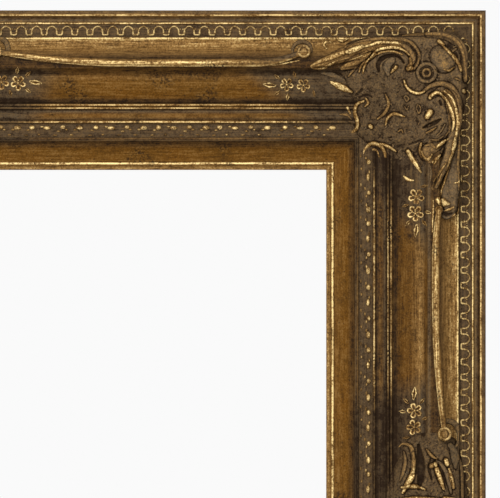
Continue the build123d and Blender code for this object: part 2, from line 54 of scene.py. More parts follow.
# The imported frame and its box, before any piece is dressed. Lengths below are in millimetres.
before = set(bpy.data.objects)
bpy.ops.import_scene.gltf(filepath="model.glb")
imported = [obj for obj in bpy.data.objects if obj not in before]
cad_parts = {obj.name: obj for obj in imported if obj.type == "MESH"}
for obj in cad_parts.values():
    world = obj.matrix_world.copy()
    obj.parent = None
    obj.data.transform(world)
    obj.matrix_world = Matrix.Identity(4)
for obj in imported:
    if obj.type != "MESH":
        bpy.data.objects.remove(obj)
CAD_BOX = [list(corner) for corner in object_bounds()]
MM = 0.001


def node_extent(node, axis):
    low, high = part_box(node)
    return (high[axis] - low[axis]) / MM


OUTER_WIDTH = node_extent("top_rail", 0)
OUTER_HEIGHT = node_extent("left_rail", 2)
MOULDING_WIDTH = node_extent("top_rail", 2)
SIDES = ("bottom", "right", "top", "left")
UPRIGHTS = ("left", "right")
CORNERS = {"top_right": (1, 1), "top_left": (-1, 1), "bottom_left": (-1, -1), "bottom_right": (1, -1)}

# Members of the moulding from the outer edge in: width, height at start and end, crown of the middle
MEMBERS = (
    (5.0, 39.0, 40.0, 1.6), (4.0, 40.0, 40.5, -1.2), (1.8, 40.5, 40.5, 0.9), (9.5, 38.8, 38.8, 0.0),
    (1.9, 43.2, 43.2, 0.45), (13.2, 43.2, 52.5, -3.2), (8.4, 52.5, 52.5, 0.0), (5.2, 52.5, 46.0, -1.4),
    (21.2, 46.0, 38.0, 1.8), (2.5, 38.0, 38.0, 0.9), (2.5, 38.0, 38.0, 0.9), (7.8, 36.4, 35.2, 0.6),
    (2.6, 35.2, 35.2, 0.9), (10.6, 31.6, 31.6, 0.0), (2.6, 34.2, 34.2, 0.9), (3.4, 34.2, 30.0, -0.9),
    (12.4, 30.0, 24.2, -0.9), (2.6, 24.2, 24.2, 0.9), (3.45, 24.2, 22.5, 0.0),
)
FACE_STEP = 0.42
SIGHT_LAP = 6.35
REBATE_DEPTH = 16.0
LAND_HEIGHT = 52.5
# Band of the panel's shoulder that carries a painted highlight, dimmed on the level rails
SHOULDER_HIGHLIGHT_BAND = (49.2, 54.0)
# Runs let into the rails: band in from the outer edge, heights of seat, ground and peak, gold on the peaks
LUNETTE_BAND, LUNETTE_LEVELS, LUNETTE_SHINE = (10.8, 20.3), (38.8, 40.2, 41.6), 0.9
BERRY_BAND, BERRY_LEVELS, BERRY_SHINE = (85.6, 96.2), (31.6, 33.0, 34.8), 0.72
BERRY_PLAY, RUN_CLEARANCE, RUN_STATIONS = 1.4, 0.02, 41
# Swept beads of level and upright rails: line in from the outer edge, swing and gap at the corner, and the
# share that is left of the corner's button
BEAD_LINE, BEAD_SWING, BEAD_CORNER_GAP, BEAD_CORNER_GIRTH = 39.9, 8.7, 137.6, 0.95
UPRIGHT_LINE, UPRIGHT_SWING, UPRIGHT_CORNER_GAP, UPRIGHT_CORNER_GIRTH = 38.0, 2.5, 150.8, 0.55
BEAD_CENTRE_GAP, BEAD_CENTRE_BOW, BEAD_CORNER_BOW = 49.5, 100.0, 36.0
BEAD_RISE, BEAD_BUTTON, BEAD_SIDES, BEAD_STATIONS = 1.6, 4.9, 18, 110
# Grey wash by the ornaments: where it ends from the corner and from the middle of the rail, its soft edge,
# how far that edge leans past a line of the section, and its band across the section
WASH_CORNER, WASH_CENTRE, WASH_SOFT, WASH_LEAN, WASH_LINE = 186.0, 100.0, 22.0, 1.2, 48.0
WASH_BAND, WASH_BAND_SOFT = (43.0, 101.0), 3.0

# How the gilder left the section, light and shade painted in: place in from the outer edge, then rubbed gold
# with painted highlights on arrises, shoulder and sight edge, grey dust, and dark glaze with painted shade in
# the grooves between members
FINISH = (
    (0, 0.03, 0.5, 0.15), (1.6, 0.02, 0.7, 0.15), (2.6, 0.04, 0.5, 0.1), (3.1, 0.2, 0.2, 0),
    (3.7, 0.9, 0, 0), (4.2, 0.2, 0.1, 0), (4.7, 0.03, 0.3, 0.4), (5.4, 0, 0.4, 0.45), (6.5, 0, 0.5, 0.4),
    (7.3, 0.05, 1, 0.1), (8.4, 0.12, 1, 0.05), (9, 0.05, 0.3, 0.3), (9.5, 0.65, 0, 0), (10.1, 0.7, 0, 0),
    (10.7, 0, 0.3, 0.6), (11.2, 0, 0.5, 0.3), (20, 0, 0.2, 0.9), (20.4, 0.05, 0, 0.6), (20.9, 0.95, 0, 0),
    (21.5, 0.85, 0, 0), (22.2, 0.4, 0, 0), (23.4, 0.27, 0.1, 0), (27.2, 0.26, 0.15, 0),
    (30, 0.16, 0.2, 0), (32, 0.11, 0.3, 0), (34, 0.05, 0.4, 0.1), (36, 0.02, 0.4, 0.6), (43, 0, 0.1, 0.6),
    (44.2, 0, 0.1, 0.4), (46.5, 0, 0.1, 0.5), (48.4, 0, 0.1, 0.4), (49.2, 0.03, 0.1, 0.2),
    (50, 0.2, 0.1, 0), (52.4, 0.22, 0.05, 0), (54, 0.06, 0, 0), (58, 0.02, 0, 0), (64, 0, 0, 0.05),
    (66.4, 0, 0.05, 0.15), (67.8, 0, 0.2, 0.6), (70.2, 0, 0.2, 0.95), (70.8, 0.03, 0.1, 0.6),
    (71.4, 0.5, 0, 0), (72, 0.4, 0, 0), (72.7, 0, 0, 0.7), (73.5, 0.2, 0, 0.1), (74.1, 0.7, 0, 0),
    (74.8, 0.03, 0.1, 0.75), (75.4, 0, 0.5, 0.5), (76.4, 0.03, 0.9, 0.1), (77.4, 0, 0.4, 0.2),
    (78.8, 0.02, 0.1, 0), (80.6, 0.05, 0.1, 0), (82.2, 0, 0.4, 0.3), (83.1, 0.03, 0.1, 0.65),
    (83.9, 0.25, 0, 0), (84.6, 0.8, 0, 0), (85.2, 0.1, 0, 0.4), (85.8, 0, 0.4, 0.7), (96, 0, 0.4, 0.5),
    (96.9, 0.07, 0.4, 0.1), (97.6, 0, 0.2, 0.7), (98.3, 0.03, 0.9, 0.25), (99.2, 0, 0.2, 0.55),
    (101.6, 0, 0.15, 0.5), (103, 0, 0.1, 0.3), (104.6, 0, 0, 0.06), (107, 0.02, 0, 0), (114, 0.02, 0, 0),
    (114.7, 0.04, 0, 0.2), (115.4, 0.85, 0, 0), (116.1, 0.85, 0, 0), (116.8, 0.15, 0, 0.2),
    (117.4, 0.08, 0.1, 0), (118.4, 0.24, 0.2, 0), (119.8, 0.3, 0.2, 0), (120.65, 0.2, 0.2, 0.1),
)

# The same across the swept bead, by offsets inwards from its line: the rubbed gold paints a highlight along
# its crest, the glaze paints shade beside it
BEAD_FINISH = (
    (-3.4, 0.03, 0.3, 0.5), (-2.6, 0.1, 0.3, 0.1), (-1.6, 0.3, 0.1, 0), (-0.4, 0.68, 0, 0),
    (0.3, 0.6, 0, 0), (1, 0.3, 0, 0), (1.4, 0.02, 0, 0.6), (1.8, 0.5, 0, 0), (2.4, 0.8, 0, 0),
    (2.9, 0.15, 0.1, 0.3), (3.4, 0, 0.2, 0.7),
)
# What the light adds to the same on the upright rails
UPRIGHT_CHANGE = (
    (4.3, 0, 0, 0), (4.8, 0, 0, 0.3), (5.8, 0, 0, 0.3), (6.3, 0, 0, 0), (24, 0, 0, 0.05), (32, 0, 0, 0),
    (36, 0, 0, -0.15), (41, 0, 0, 0), (42.4, 0.05, 0.7, -0.35), (43.6, 0.05, 0.7, -0.35),
    (44.6, 0, 0, -0.2), (46, 0, 0, -0.25), (47.2, 0.15, 0.1, -0.4), (49.2, 0.2, 0.1, -0.4),
    (50.6, -0.05, 0, -0.05), (52, -0.1, 0, 0.05), (53.5, 0, -0.1, 0.25), (56, 0, -0.1, 0.17),
    (63, 0, -0.1, 0.2), (65, 0, 0, 0.35), (67, 0, 0, 0.2), (69, 0, 0, 0), (70, 0, 0, -0.3),
    (71, 0, 0, 0.1), (72, 0, 0, 0.4), (76, 0, 0, 0.2), (77, 0, 0, 0.36), (84, 0, 0, 0.36), (86, 0, 0, 0),
)
# The same on the outer edge of a rail, and where the lip and the rebate hide it
EDGE_TONE = (0.16, 0.3, 0.3)
HIDDEN_TONE = (0.0, 0.2, 0.4)


# Places on the frame
def side_length(side):
    return OUTER_HEIGHT if side in UPRIGHTS else OUTER_WIDTH


def side_to_row(side, points):
    """Rail axes (along, in from the outer edge, up from the back), mm, to the row frame, m."""
    along, inward, up = np.asarray(points, dtype=float).T
    if side == "bottom":
        row = (along, -up, inward - OUTER_HEIGHT / 2)
    elif side == "top":
        row = (-along, -up, OUTER_HEIGHT / 2 - inward)
    elif side == "right":
        row = (OUTER_WIDTH / 2 - inward, -up, along)
    else:
        row = (inward - OUTER_WIDTH / 2, -up, -along)
    return np.stack(row, axis=1) * MM


def corner_to_row(signs, points):
    """Corner axes (in from the side edge, in from the top or bottom edge, up), mm, to the row frame, m."""
    across, down, up = np.asarray(points, dtype=float).T
    row = (signs[0] * (OUTER_WIDTH / 2 - across), -up, signs[1] * (OUTER_HEIGHT / 2 - down))
    return np.stack(row, axis=1) * MM


def member_height(share, start, end, crown):
    if abs(crown) < 1e-6:
        return start + (end - start) * share
    swell = 1.0 - (2.0 * share - 1.0) ** 2
    if crown > 0.5:
        swell = np.sqrt(np.clip(swell, 0.0, None))
    return start + (end - start) * share + crown * swell


def section_height(inward):
    """Height of the moulding's face at a distance in from the outer edge."""
    inward = np.asarray(inward, dtype=float)
    height = np.full(inward.shape, MEMBERS[-1][2])
    reach = 0.0
    for width, start, end, crown in MEMBERS:
        here = (inward >= reach) & (inward <= reach + width)
        share = unit((inward - reach) / width)
        height = np.where(here, member_height(share, start, end, crown), height)
        reach += width
    return height


def unit(values):
    """Values held between 0 and 1."""
    return np.clip(values, 0.0, 1.0)


def table_at(table, where):
    """Rubbed gold, dust and glaze from a table, at the given places."""
    rows = np.array(table)
    return [np.interp(where, rows[:, 0], rows[:, column]) for column in (1, 2, 3)]


# Meshes, and the angles in degrees below which faces that meet look smooth
RAIL_SMOOTH, RUN_SMOOTH, RELIEF_SMOOTH, BACK_SMOOTH = 28.0, 50.0, 70.0, 35.0


def mesh_of(name, points, faces, edges=()):
    mesh = bpy.data.meshes.new(name)
    mesh.from_pydata([tuple(p) for p in points], [tuple(e) for e in edges], [tuple(f) for f in faces])
    mesh.update()
    return mesh


def set_marks(mesh, marks):
    """Write named values for the points of a mesh."""
    for label, values in marks.items():
        layer = mesh.attributes.new(label, "FLOAT", "POINT")
        layer.data.foreach_set("value", np.ascontiguousarray(values, dtype=np.float32))


def dress_piece(name, mesh, coats, smooth_angle):
    """A mesh object at the origin in its finishes, smooth where faces meet below an angle in degrees."""
    mesh.name = name
    mesh.materials.clear()
    for coat in coats:
        mesh.materials.append(finish(coat))
    mesh.polygons.foreach_set("use_smooth", [True] * len(mesh.polygons))
    mesh.set_sharp_from_angle(angle=math.radians(smooth_angle))
    mesh.update()
    piece = bpy.data.objects.new(name, mesh)
    bpy.context.scene.collection.objects.link(piece)
    return piece


def place(piece, body, slot, *nodes):
    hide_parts(*nodes)
    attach(piece, body)


def points_of(mesh):
    points = np.empty(len(mesh.vertices) * 3, dtype=np.float32)
    mesh.vertices.foreach_get("co", points)
    return points.reshape(-1, 3).astype(float)


def set_points(mesh, points):
    mesh.vertices.foreach_set("co", np.ascontiguousarray(points, dtype=np.float32).ravel())
    mesh.update()


def close_mesh(mesh):
    """Cap the open ends and turn every face outwards."""
    work = bmesh.new()
    work.from_mesh(mesh)
    open_edges = [edge for edge in work.edges if edge.is_boundary]
    if open_edges:
        bmesh.ops.holes_fill(work, edges=open_edges, sides=0)
    bmesh.ops.recalc_face_normals(work, faces=work.faces)
    work.to_mesh(mesh)
    work.free()
    mesh.update()


# Geometry Nodes
def geometry_tree(name, sockets):
    tree = bpy.data.node_groups.new(name, "GeometryNodeTree")
    tree.interface.new_socket("Geometry", in_out="INPUT", socket_type="NodeSocketGeometry")
    for label, kind, default in sockets:
        socket = tree.interface.new_socket(label, in_out="INPUT", socket_type="NodeSocket" + kind)
        if default is not None:
            socket.default_value = default
    tree.interface.new_socket("Geometry", in_out="OUTPUT", socket_type="NodeSocketGeometry")
    return tree, tree.nodes.new("NodeGroupInput"), tree.nodes.new("NodeGroupOutput")


def put(tree, kind, inputs=None, **settings):
    """Add a node, set it up, and give each input a value or a link."""
    made = tree.nodes.new(kind)
    for label, value in settings.items():
        setattr(made, label, value)
    for label, value in (inputs or {}).items():
        socket = made.inputs[label]
        if isinstance(value, bpy.types.NodeSocket):
            tree.links.new(value, socket)
        else:
            socket.default_value = value
    return made


def math_node(tree, operation, first, second=None):
    inputs = {0: first}
    if second is not None:
        inputs[1] = second
    return put(tree, "ShaderNodeMath", inputs, operation=operation).outputs[0]


def times(tree, first, second):
    return math_node(tree, "MULTIPLY", first, second)


def plus(tree, first, second):
    return math_node(tree, "ADD", first, second)


def minus(tree, first, second):
    return math_node(tree, "SUBTRACT", first, second)


def run_tree(holder, tree, values):
    """Run a tree on an object and keep the result as a plain mesh; the holder is deleted."""
    modifier = holder.modifiers.new(tree.name, "NODES")
    modifier.node_group = tree
    for item in tree.interface.items_tree:
        if item.in_out == "INPUT" and item.name in values:
            modifier[item.identifier] = values[item.name]
    bpy.context.view_layer.update()
    graph = bpy.context.evaluated_depsgraph_get()
    mesh = bpy.data.meshes.new_from_object(holder.evaluated_get(graph), depsgraph=graph)
    holder.modifiers.remove(modifier)
    bpy.data.objects.remove(holder, do_unlink=True)
    if len(mesh.vertices) == 0:
        raise RuntimeError(tree.name + " made no mesh")
    return mesh


def holder_of(name, points, faces=(), edges=()):
    """An object for a tree to work on, from points in millimetres."""
    thing = bpy.data.objects.new(name, mesh_of(name, np.asarray(points) * MM, faces, edges))
    bpy.context.scene.collection.objects.link(thing)
    return thing


def live(sockets, *names):
    """The sockets that a node's settings leave in use, by name where names are given."""
    return [s for s in sockets if s.enabled and (not names or s.name in names)]


def seeded(tree, start, reach):
    """A seeded value for each point, up to a reach either way."""
    made = put(tree, "FunctionNodeRandomValue", {"Seed": start.outputs["Seed"]}, data_type="FLOAT")
    low, high = live(made.inputs, "Min", "Max")
    tree.links.new(times(tree, reach, -1.0), low)
    tree.links.new(reach, high)
    return live(made.outputs)[0]


def named_value(tree, name):
    """A value that the points carry."""
    made = put(tree, "GeometryNodeInputNamedAttribute", {"Name": name}, data_type="FLOAT")
    return live(made.outputs, "Attribute")[0]


def shape_of(tree, thing):
    """The geometry of an object that is handed to the tree."""
    made = put(tree, "GeometryNodeObjectInfo", {"Object": thing}, transform_space="ORIGINAL")
    return made.outputs["Geometry"]


def end_tree(tree, start, end, *parts):
    """Join the parts, make them real, set the finish and hand them on."""
    whole = put(tree, "GeometryNodeJoinGeometry")
    for part in parts:
        tree.links.new(part, whole.inputs[0])
    real = put(tree, "GeometryNodeRealizeInstances", {"Geometry": whole.outputs[0]})
    done = put(tree, "GeometryNodeSetMaterial", {
        "Geometry": real.outputs[0], "Material": start.outputs["Finish"],
    })
    tree.links.new(done.outputs[0], end.inputs[0])
    return tree


def moulding_tree():
    """Runs a section of points, given as a line of vertices, along a rail and mitres both ends."""
    tree, start, end = geometry_tree("Moulding Run", (
        ("Length", "Float", 0.8), ("Stations", "Int", 25), ("Finish", "Material", None),
    ))
    count = put(tree, "GeometryNodeAttributeDomainSize", {0: start.outputs["Geometry"]}).outputs[0]
    grid = put(tree, "GeometryNodeMeshGrid", {
        "Size X": 1.0, "Size Y": 1.0, "Vertices X": start.outputs["Stations"], "Vertices Y": count,
    })
    index = put(tree, "GeometryNodeInputIndex").outputs[0]
    row = math_node(tree, "MODULO", index, count)
    station = math_node(tree, "FLOOR", math_node(tree, "DIVIDE", plus(tree, index, 0.5), count))
    last = minus(tree, start.outputs["Stations"], 1.0)
    share = minus(tree, math_node(tree, "DIVIDE", station, last), 0.5)
    sample = put(tree, "GeometryNodeSampleIndex", {
        "Geometry": start.outputs["Geometry"], "Index": row,
    }, data_type="FLOAT_VECTOR")
    position = put(tree, "GeometryNodeInputPosition").outputs[0]
    tree.links.new(position, live(sample.inputs, "Value")[0])
    spot = put(tree, "ShaderNodeSeparateXYZ", {0: live(sample.outputs)[0]})
    mitred = times(tree, spot.outputs["Y"], 2.0)
    inner = minus(tree, start.outputs["Length"], mitred)
    along = times(tree, share, inner)
    spread = put(tree, "ShaderNodeCombineXYZ", {"X": along, "Y": spot.outputs["Y"], "Z": spot.outputs["Z"]})
    laid = put(tree, "GeometryNodeSetPosition", {
        "Geometry": grid.outputs["Mesh"], "Position": spread.outputs[0],
    })
    merged = put(tree, "GeometryNodeMergeByDistance", {"Geometry": laid.outputs[0], "Distance": 1e-6})
    return end_tree(tree, start, end, merged.outputs[0])


def motif_tree():
    """Repeats a motif along a band that is given as the mesh, with a little seeded play in its place."""
    tree, start, end = geometry_tree("Motif Run", (
        ("Motif", "Object", None), ("Count", "Int", 60), ("Pitch", "Float", 0.0117), ("Play", "Float", 0.0),
        ("Seed", "Int", 3), ("Finish", "Material", None),
    ))
    count = start.outputs["Count"]
    pitch = start.outputs["Pitch"]
    length = times(tree, minus(tree, count, 1.0), pitch)
    first = times(tree, length, -0.5)
    line = put(tree, "GeometryNodeMeshLine", {
        "Count": count,
        "Start Location": put(tree, "ShaderNodeCombineXYZ", {"X": first}).outputs[0],
        "Offset": put(tree, "ShaderNodeCombineXYZ", {"X": pitch}).outputs[0],
    }, mode="OFFSET", count_mode="TOTAL")
    shift = put(tree, "ShaderNodeCombineXYZ", {"X": seeded(tree, start, start.outputs["Play"])})
    moved = put(tree, "GeometryNodeSetPosition", {"Geometry": line.outputs[0], "Offset": shift.outputs[0]})
    copies = put(tree, "GeometryNodeInstanceOnPoints", {
        "Points": moved.outputs[0], "Instance": shape_of(tree, start.outputs["Motif"]),
    })
    return end_tree(tree, start, end, copies.outputs[0], start.outputs["Geometry"])


def swept_tree():
    """Sweeps a round line along a path of vertices that carry their own swell, with a button at each end."""
    tree, start, end = geometry_tree("Swept Line", (
        ("Radius", "Float", 0.0032), ("Sides", "Int", 14), ("Button", "Object", None),
        ("Finish", "Material", None),
    ))
    curve = put(tree, "GeometryNodeMeshToCurve", {0: start.outputs["Geometry"]})
    round_line = put(tree, "GeometryNodeCurvePrimitiveCircle", {
        "Resolution": start.outputs["Sides"], "Radius": start.outputs["Radius"],
    }, mode="RADIUS")
    tube = put(tree, "GeometryNodeCurveToMesh", {
        "Curve": curve.outputs[0], "Profile Curve": round_line.outputs[0],
        "Scale": named_value(tree, "swell"), "Fill Caps": True,
    })
    ends = put(tree, "GeometryNodeCurveEndpointSelection", {"Start Size": 1, "End Size": 1})
    flag = put(tree, "GeometryNodeCaptureAttribute", domain="POINT")
    flag.capture_items.new("BOOLEAN", "End")
    tree.links.new(curve.outputs[0], flag.inputs[0])
    tree.links.new(ends.outputs[0], flag.inputs[1])
    spots = put(tree, "GeometryNodeCurveToPoints", {"Curve": flag.outputs[0]}, mode="EVALUATED")
    buttons = put(tree, "GeometryNodeInstanceOnPoints", {
        "Points": spots.outputs["Points"], "Instance": shape_of(tree, start.outputs["Button"]),
        "Selection": flag.outputs[1], "Scale": named_value(tree, "girth"),
    })
    return end_tree(tree, start, end, tube.outputs[0], buttons.outputs[0])


def fixings_tree():
    """Sets one fixing on every point of the given mesh, each left at its own seeded turn."""
    tree, start, end = geometry_tree("Fixing Set", (
        ("Fixing", "Object", None), ("Turn", "Float", 0.0), ("Seed", "Int", 5), ("Finish", "Material", None),
    ))
    turned = put(tree, "ShaderNodeCombineXYZ", {"Z": seeded(tree, start, start.outputs["Turn"])})
    copies = put(tree, "GeometryNodeInstanceOnPoints", {
        "Points": start.outputs["Geometry"], "Instance": shape_of(tree, start.outputs["Fixing"]),
        "Rotation": turned.outputs[0],
    })
    return end_tree(tree, start, end, copies.outputs[0])


# Finishes
WARM_LEAF = (0.19, 0.07, 0.004, 1.0)
WORN_RUBBER = (0.06, 0.055, 0.05, 1.0)
GILT_SPECULAR = 0.04


def shader_group(name, inputs, outputs):
    tree = bpy.data.node_groups.new(name, "ShaderNodeTree")
    for label, kind, default in inputs:
        socket = tree.interface.new_socket(label, in_out="INPUT", socket_type="NodeSocket" + kind)
        socket.default_value = default
    for label, kind in outputs:
        tree.interface.new_socket(label, in_out="OUTPUT", socket_type="NodeSocket" + kind)
    return tree, tree.nodes.new("NodeGroupInput"), tree.nodes.new("NodeGroupOutput")


def mix_colour(tree, factor, first, second):
    return put(tree, "ShaderNodeMix", {0: factor, 6: first, 7: second}, data_type="RGBA").outputs[2]


def ranged(tree, value, low, high, to_low=0.0, to_high=1.0):
    made = put(tree, "ShaderNodeMapRange", {
        "Value": value, "From Min": low, "From Max": high, "To Min": to_low, "To Max": to_high,
    }, clamp=True)
    return made.outputs[0]


def noise(tree, where, scale, detail, rough=0.5):
    return put(tree, "ShaderNodeTexNoise", {
        "Vector": where, "Scale": scale, "Detail": detail, "Roughness": rough,
    }).outputs[0]


def clamped_sum(tree, first, second):
    return put(tree, "ShaderNodeMath", {0: first, 1: second}, operation="ADD", use_clamp=True).outputs[0]


def object_space(tree):
    return put(tree, "ShaderNodeTexCoord").outputs["Object"]


def roughen(tree, skin, height, strength, depth):
    """Give a skin a fine bump, its depth in metres."""
    bump = put(tree, "ShaderNodeBump", {"Height": height, "Strength": strength, "Distance": depth})
    tree.links.new(bump.outputs["Normal"], skin.inputs["Normal"])


def antique_gilt_group():
    """Gold leaf over brown clay, glazed and dusted: turns the gilder's marks, with the painted highlights and
    shade they carry, into colour, sheen and grain.
    """
    tree, start, end = shader_group("Antique Gilt", (
        ("Rub_and_highlight", "Float", 0.0), ("Dust", "Float", 0.0), ("Glaze_and_shade", "Float", 0.0), ("Upright", "Float", 0.0),
        ("Streak", "Float", 0.0), ("Gold", "Color", (0.9, 0.66, 0.29, 1.0)),
        ("Bronze", "Color", (0.35, 0.19, 0.06, 1.0)), ("Old Gold", "Color", (0.14, 0.06, 0.01, 1.0)),
        ("Dust Tone", "Color", (0.14, 0.11, 0.07, 1.0)), ("Glaze Tone", "Color", (0.026, 0.014, 0.007, 1.0)),
        ("Specks", "Float", 0.5),
    ), (("Color", "Color"), ("Roughness", "Float"), ("Metallic", "Float"), ("Grain", "Float")))
    where = object_space(tree)
    upright = start.outputs["Upright"]
    dust = start.outputs["Dust"]
    specks = start.outputs["Specks"]
    pull = times(tree, start.outputs["Streak"], 0.94)
    level_pull = times(tree, pull, minus(tree, 1.0, upright))
    upright_pull = times(tree, pull, upright)
    stretch = put(tree, "ShaderNodeCombineXYZ", {
        "X": minus(tree, 1.0, level_pull), "Y": 1.0, "Z": minus(tree, 1.0, upright_pull),
    }).outputs[0]
    drawn = put(tree, "ShaderNodeVectorMath", {0: where, 1: stretch}, operation="MULTIPLY").outputs[0]
    streaks = ranged(tree, noise(tree, drawn, 700.0, 2.0, 0.7), 0.3, 0.7, -1.0, 1.0)
    grain = noise(tree, where, 900.0, 1.0, 0.6)
    brush = noise(tree, where, 210.0, 4.0, 0.7)
    cloud = noise(tree, where, 34.0, 3.0, 0.55)
    flecks = noise(tree, where, 620.0, 2.0, 0.5)
    fine = ranged(tree, grain, 0.3, 0.7, -1.0, 1.0)
    broad = ranged(tree, brush, 0.3, 0.7, -1.0, 1.0)
    # gold that the cloth has brought up, with the painted highlights it carries, uneven in the way a rubbed
    # edge is, and painted glints scattered over it
    uneven = times(tree, plus(tree, fine, broad), 0.4)
    uneven = plus(tree, uneven, times(tree, streaks, 0.55))
    wear = times(tree, start.outputs["Rub_and_highlight"], plus(tree, uneven, 1.0))
    glint = times(tree, ranged(tree, uneven, 0.05, 0.7), 0.15)
    wear = clamped_sum(tree, wear, glint)
    # dark glaze and painted shade in the cuts, the low grain and scattered blotches
    blotch = times(tree, ranged(tree, cloud, 0.55, 0.64), ranged(tree, flecks, 0.48, 0.58))
    clean = times(tree, specks, ranged(tree, dust, 0.05, 0.35, 1.0, 0.0))
    blotch = times(tree, blotch, clean)
    low_grain = times(tree, ranged(tree, uneven, -0.7, 0.0, 1.0, 0.0), 0.5)
    shade = times(tree, start.outputs["Glaze_and_shade"], ranged(tree, broad, -1.0, 1.0, 1.15, 0.8))
    shade = clamped_sum(tree, shade, math_node(tree, "MAXIMUM", low_grain, blotch))
    speck = times(tree, ranged(tree, flecks, 0.67, 0.72), specks)
    # brown leaf, then dust, bronze, gold with its painted highlights, glaze with its painted shade, and
    # specks over it
    warm = mix_colour(tree, ranged(tree, cloud, 0.35, 0.6, 0.3, 0.0), start.outputs["Old Gold"], WARM_LEAF)
    dust_share = times(tree, dust, ranged(tree, broad, -1.0, 1.0, 0.7, 1.0))
    dusty = mix_colour(tree, dust_share, warm, start.outputs["Dust Tone"])
    bronzed = mix_colour(tree, ranged(tree, wear, 0.0, 0.4), dusty, start.outputs["Bronze"])
    rubbed = mix_colour(tree, ranged(tree, wear, 0.4, 1.0), bronzed, start.outputs["Gold"])
    glazed = mix_colour(tree, shade, rubbed, start.outputs["Glaze Tone"])
    final = mix_colour(tree, speck, glazed, start.outputs["Glaze Tone"])
    tree.links.new(final, end.inputs["Color"])
    rough = ranged(tree, dust, 0.0, 1.0, 0.42, 0.7)
    rough = plus(tree, rough, times(tree, fine, 0.06))
    tree.links.new(rough, end.inputs["Roughness"])
    tree.links.new(ranged(tree, wear, 0.2, 1.0, 0.0, 0.4), end.inputs["Metallic"])
    relief = plus(tree, times(tree, grain, 0.7), brush)
    tree.links.new(relief, end.inputs["Grain"])
    return tree


def new_material(name):
    material = bpy.data.materials.new(name)
    material.use_nodes = True
    tree = material.node_tree
    return material, tree, tree.nodes["Principled BSDF"]


def gilt_material(name, tones, streak, specks, grain_depth):
    material, tree, skin = new_material(name)
    coat = tree.nodes.new("ShaderNodeGroup")
    coat.node_tree = bpy.data.node_groups.get("Antique Gilt") or antique_gilt_group()
    for mark in ("rub_and_highlight", "dust", "glaze_and_shade", "upright"):
        layer = put(tree, "ShaderNodeAttribute", attribute_name=mark)
        tree.links.new(layer.outputs["Fac"], coat.inputs[mark.capitalize()])
    for label, tone in (("Gold", tones.gold), ("Bronze", tones.bronze), ("Old Gold", tones.old_gold),
                        ("Dust Tone", tones.dust), ("Glaze Tone", tones.glaze_and_shade)):
        coat.inputs[label].default_value = (*tone, 1.0)
    coat.inputs["Streak"].default_value = streak
    coat.inputs["Specks"].default_value = specks
    skin.inputs["Specular IOR Level"].default_value = GILT_SPECULAR
    for label, target in (("Color", "Base Color"), ("Roughness", "Roughness"), ("Metallic", "Metallic")):
        tree.links.new(coat.outputs[label], skin.inputs[target])
    roughen(tree, skin, coat.outputs["Grain"], 0.6, grain_depth)
    return material


def bare_wood_material(tones):
    """Sawn, unfinished timber with its grain along the rail."""
    material, tree, skin = new_material("bare_wood")
    spot = put(tree, "ShaderNodeSeparateXYZ", {0: object_space(tree)})
    upright = put(tree, "ShaderNodeAttribute", attribute_name="upright").outputs["Fac"]
    turned = minus(tree, spot.outputs["Z"], spot.outputs["X"])
    turned = times(tree, turned, upright)
    along = times(tree, plus(tree, spot.outputs["X"], turned), 0.05)
    across = minus(tree, spot.outputs["Z"], turned)
    where = put(tree, "ShaderNodeCombineXYZ", {"X": along, "Y": spot.outputs["Y"], "Z": across}).outputs[0]
    bands = noise(tree, where, 75.0, 3.0, 0.6)
    fibre = noise(tree, where, 900.0, 3.0, 0.7)
    late = (*tones.wood_dark, 1.0)
    tone = mix_colour(tree, ranged(tree, bands, 0.38, 0.66, 0.0, 0.75), (*tones.wood, 1.0), late)
    shade = mix_colour(tree, ranged(tree, fibre, 0.35, 0.75, 0.0, 0.4), tone, late)
    tree.links.new(shade, skin.inputs["Base Color"])
    tree.links.new(ranged(tree, fibre, 0.2, 0.8, 0.62, 0.85), skin.inputs["Roughness"])
    roughen(tree, skin, fibre, 0.35, 0.0004)
    return material


def plated_material(name, colour, scratch):
    """Plated hardware: a fine drawn grain, dull patches and a little tarnish."""
    material, tree, skin = new_material(name)
    where = object_space(tree)
    patch = noise(tree, where, 120.0, 3.0)
    drawn = noise(tree, where, 1600.0, 2.0)
    tone = mix_colour(tree, ranged(tree, patch, 0.4, 0.75, 0.0, 0.45), (*colour, 1.0),
                      tuple(c * 0.55 for c in colour) + (1.0,))
    tree.links.new(tone, skin.inputs["Base Color"])
    skin.inputs["Metallic"].default_value = 1.0
    tree.links.new(ranged(tree, patch, 0.3, 0.75, 0.28, 0.5), skin.inputs["Roughness"])
    roughen(tree, skin, drawn, scratch, 0.00008)
    return material


def bumper_material(colour):
    """Matt moulded rubber with a fine pebble."""
    material, tree, skin = new_material("bumper_rubber")
    where = object_space(tree)
    pebble = noise(tree, where, 1300.0, 2.0)
    wear = noise(tree, where, 160.0, 3.0)
    tone = mix_colour(tree, ranged(tree, wear, 0.4, 0.8, 0.0, 0.4), (*colour, 1.0), WORN_RUBBER)
    tree.links.new(tone, skin.inputs["Base Color"])
    tree.links.new(ranged(tree, wear, 0.3, 0.8, 0.7, 0.9), skin.inputs["Roughness"])
    roughen(tree, skin, pebble, 0.4, 0.0002)
    return material


def finish(name):
    """A finish by name, made on first use."""
    made = bpy.data.materials.get(name)
    if made is not None:
        return made
    tones = bpy.context.scene.gilded_frame_finish
    if name == "gilt_moulding":
        return gilt_material(name, tones, streak=1.0, specks=0.75, grain_depth=0.00035)
    if name == "gilt_ornament":
        return gilt_material(name, tones, streak=0.0, specks=0.3, grain_depth=0.00045)
    if name == "bare_wood":
        return bare_wood_material(tones)
    if name == "zinc_plate":
        return plated_material(name, tones.zinc, scratch=0.3)
    if name == "bright_steel":
        return plated_material(name, tones.steel, scratch=0.5)
    return bumper_material(tones.rubber)


# Relief carving: gold, dust and glaze that the grounds keep under the strokes
GROUND_GOLD, GROUND_DUST, GROUND_DARK = 0.09, 0.85, 0.35


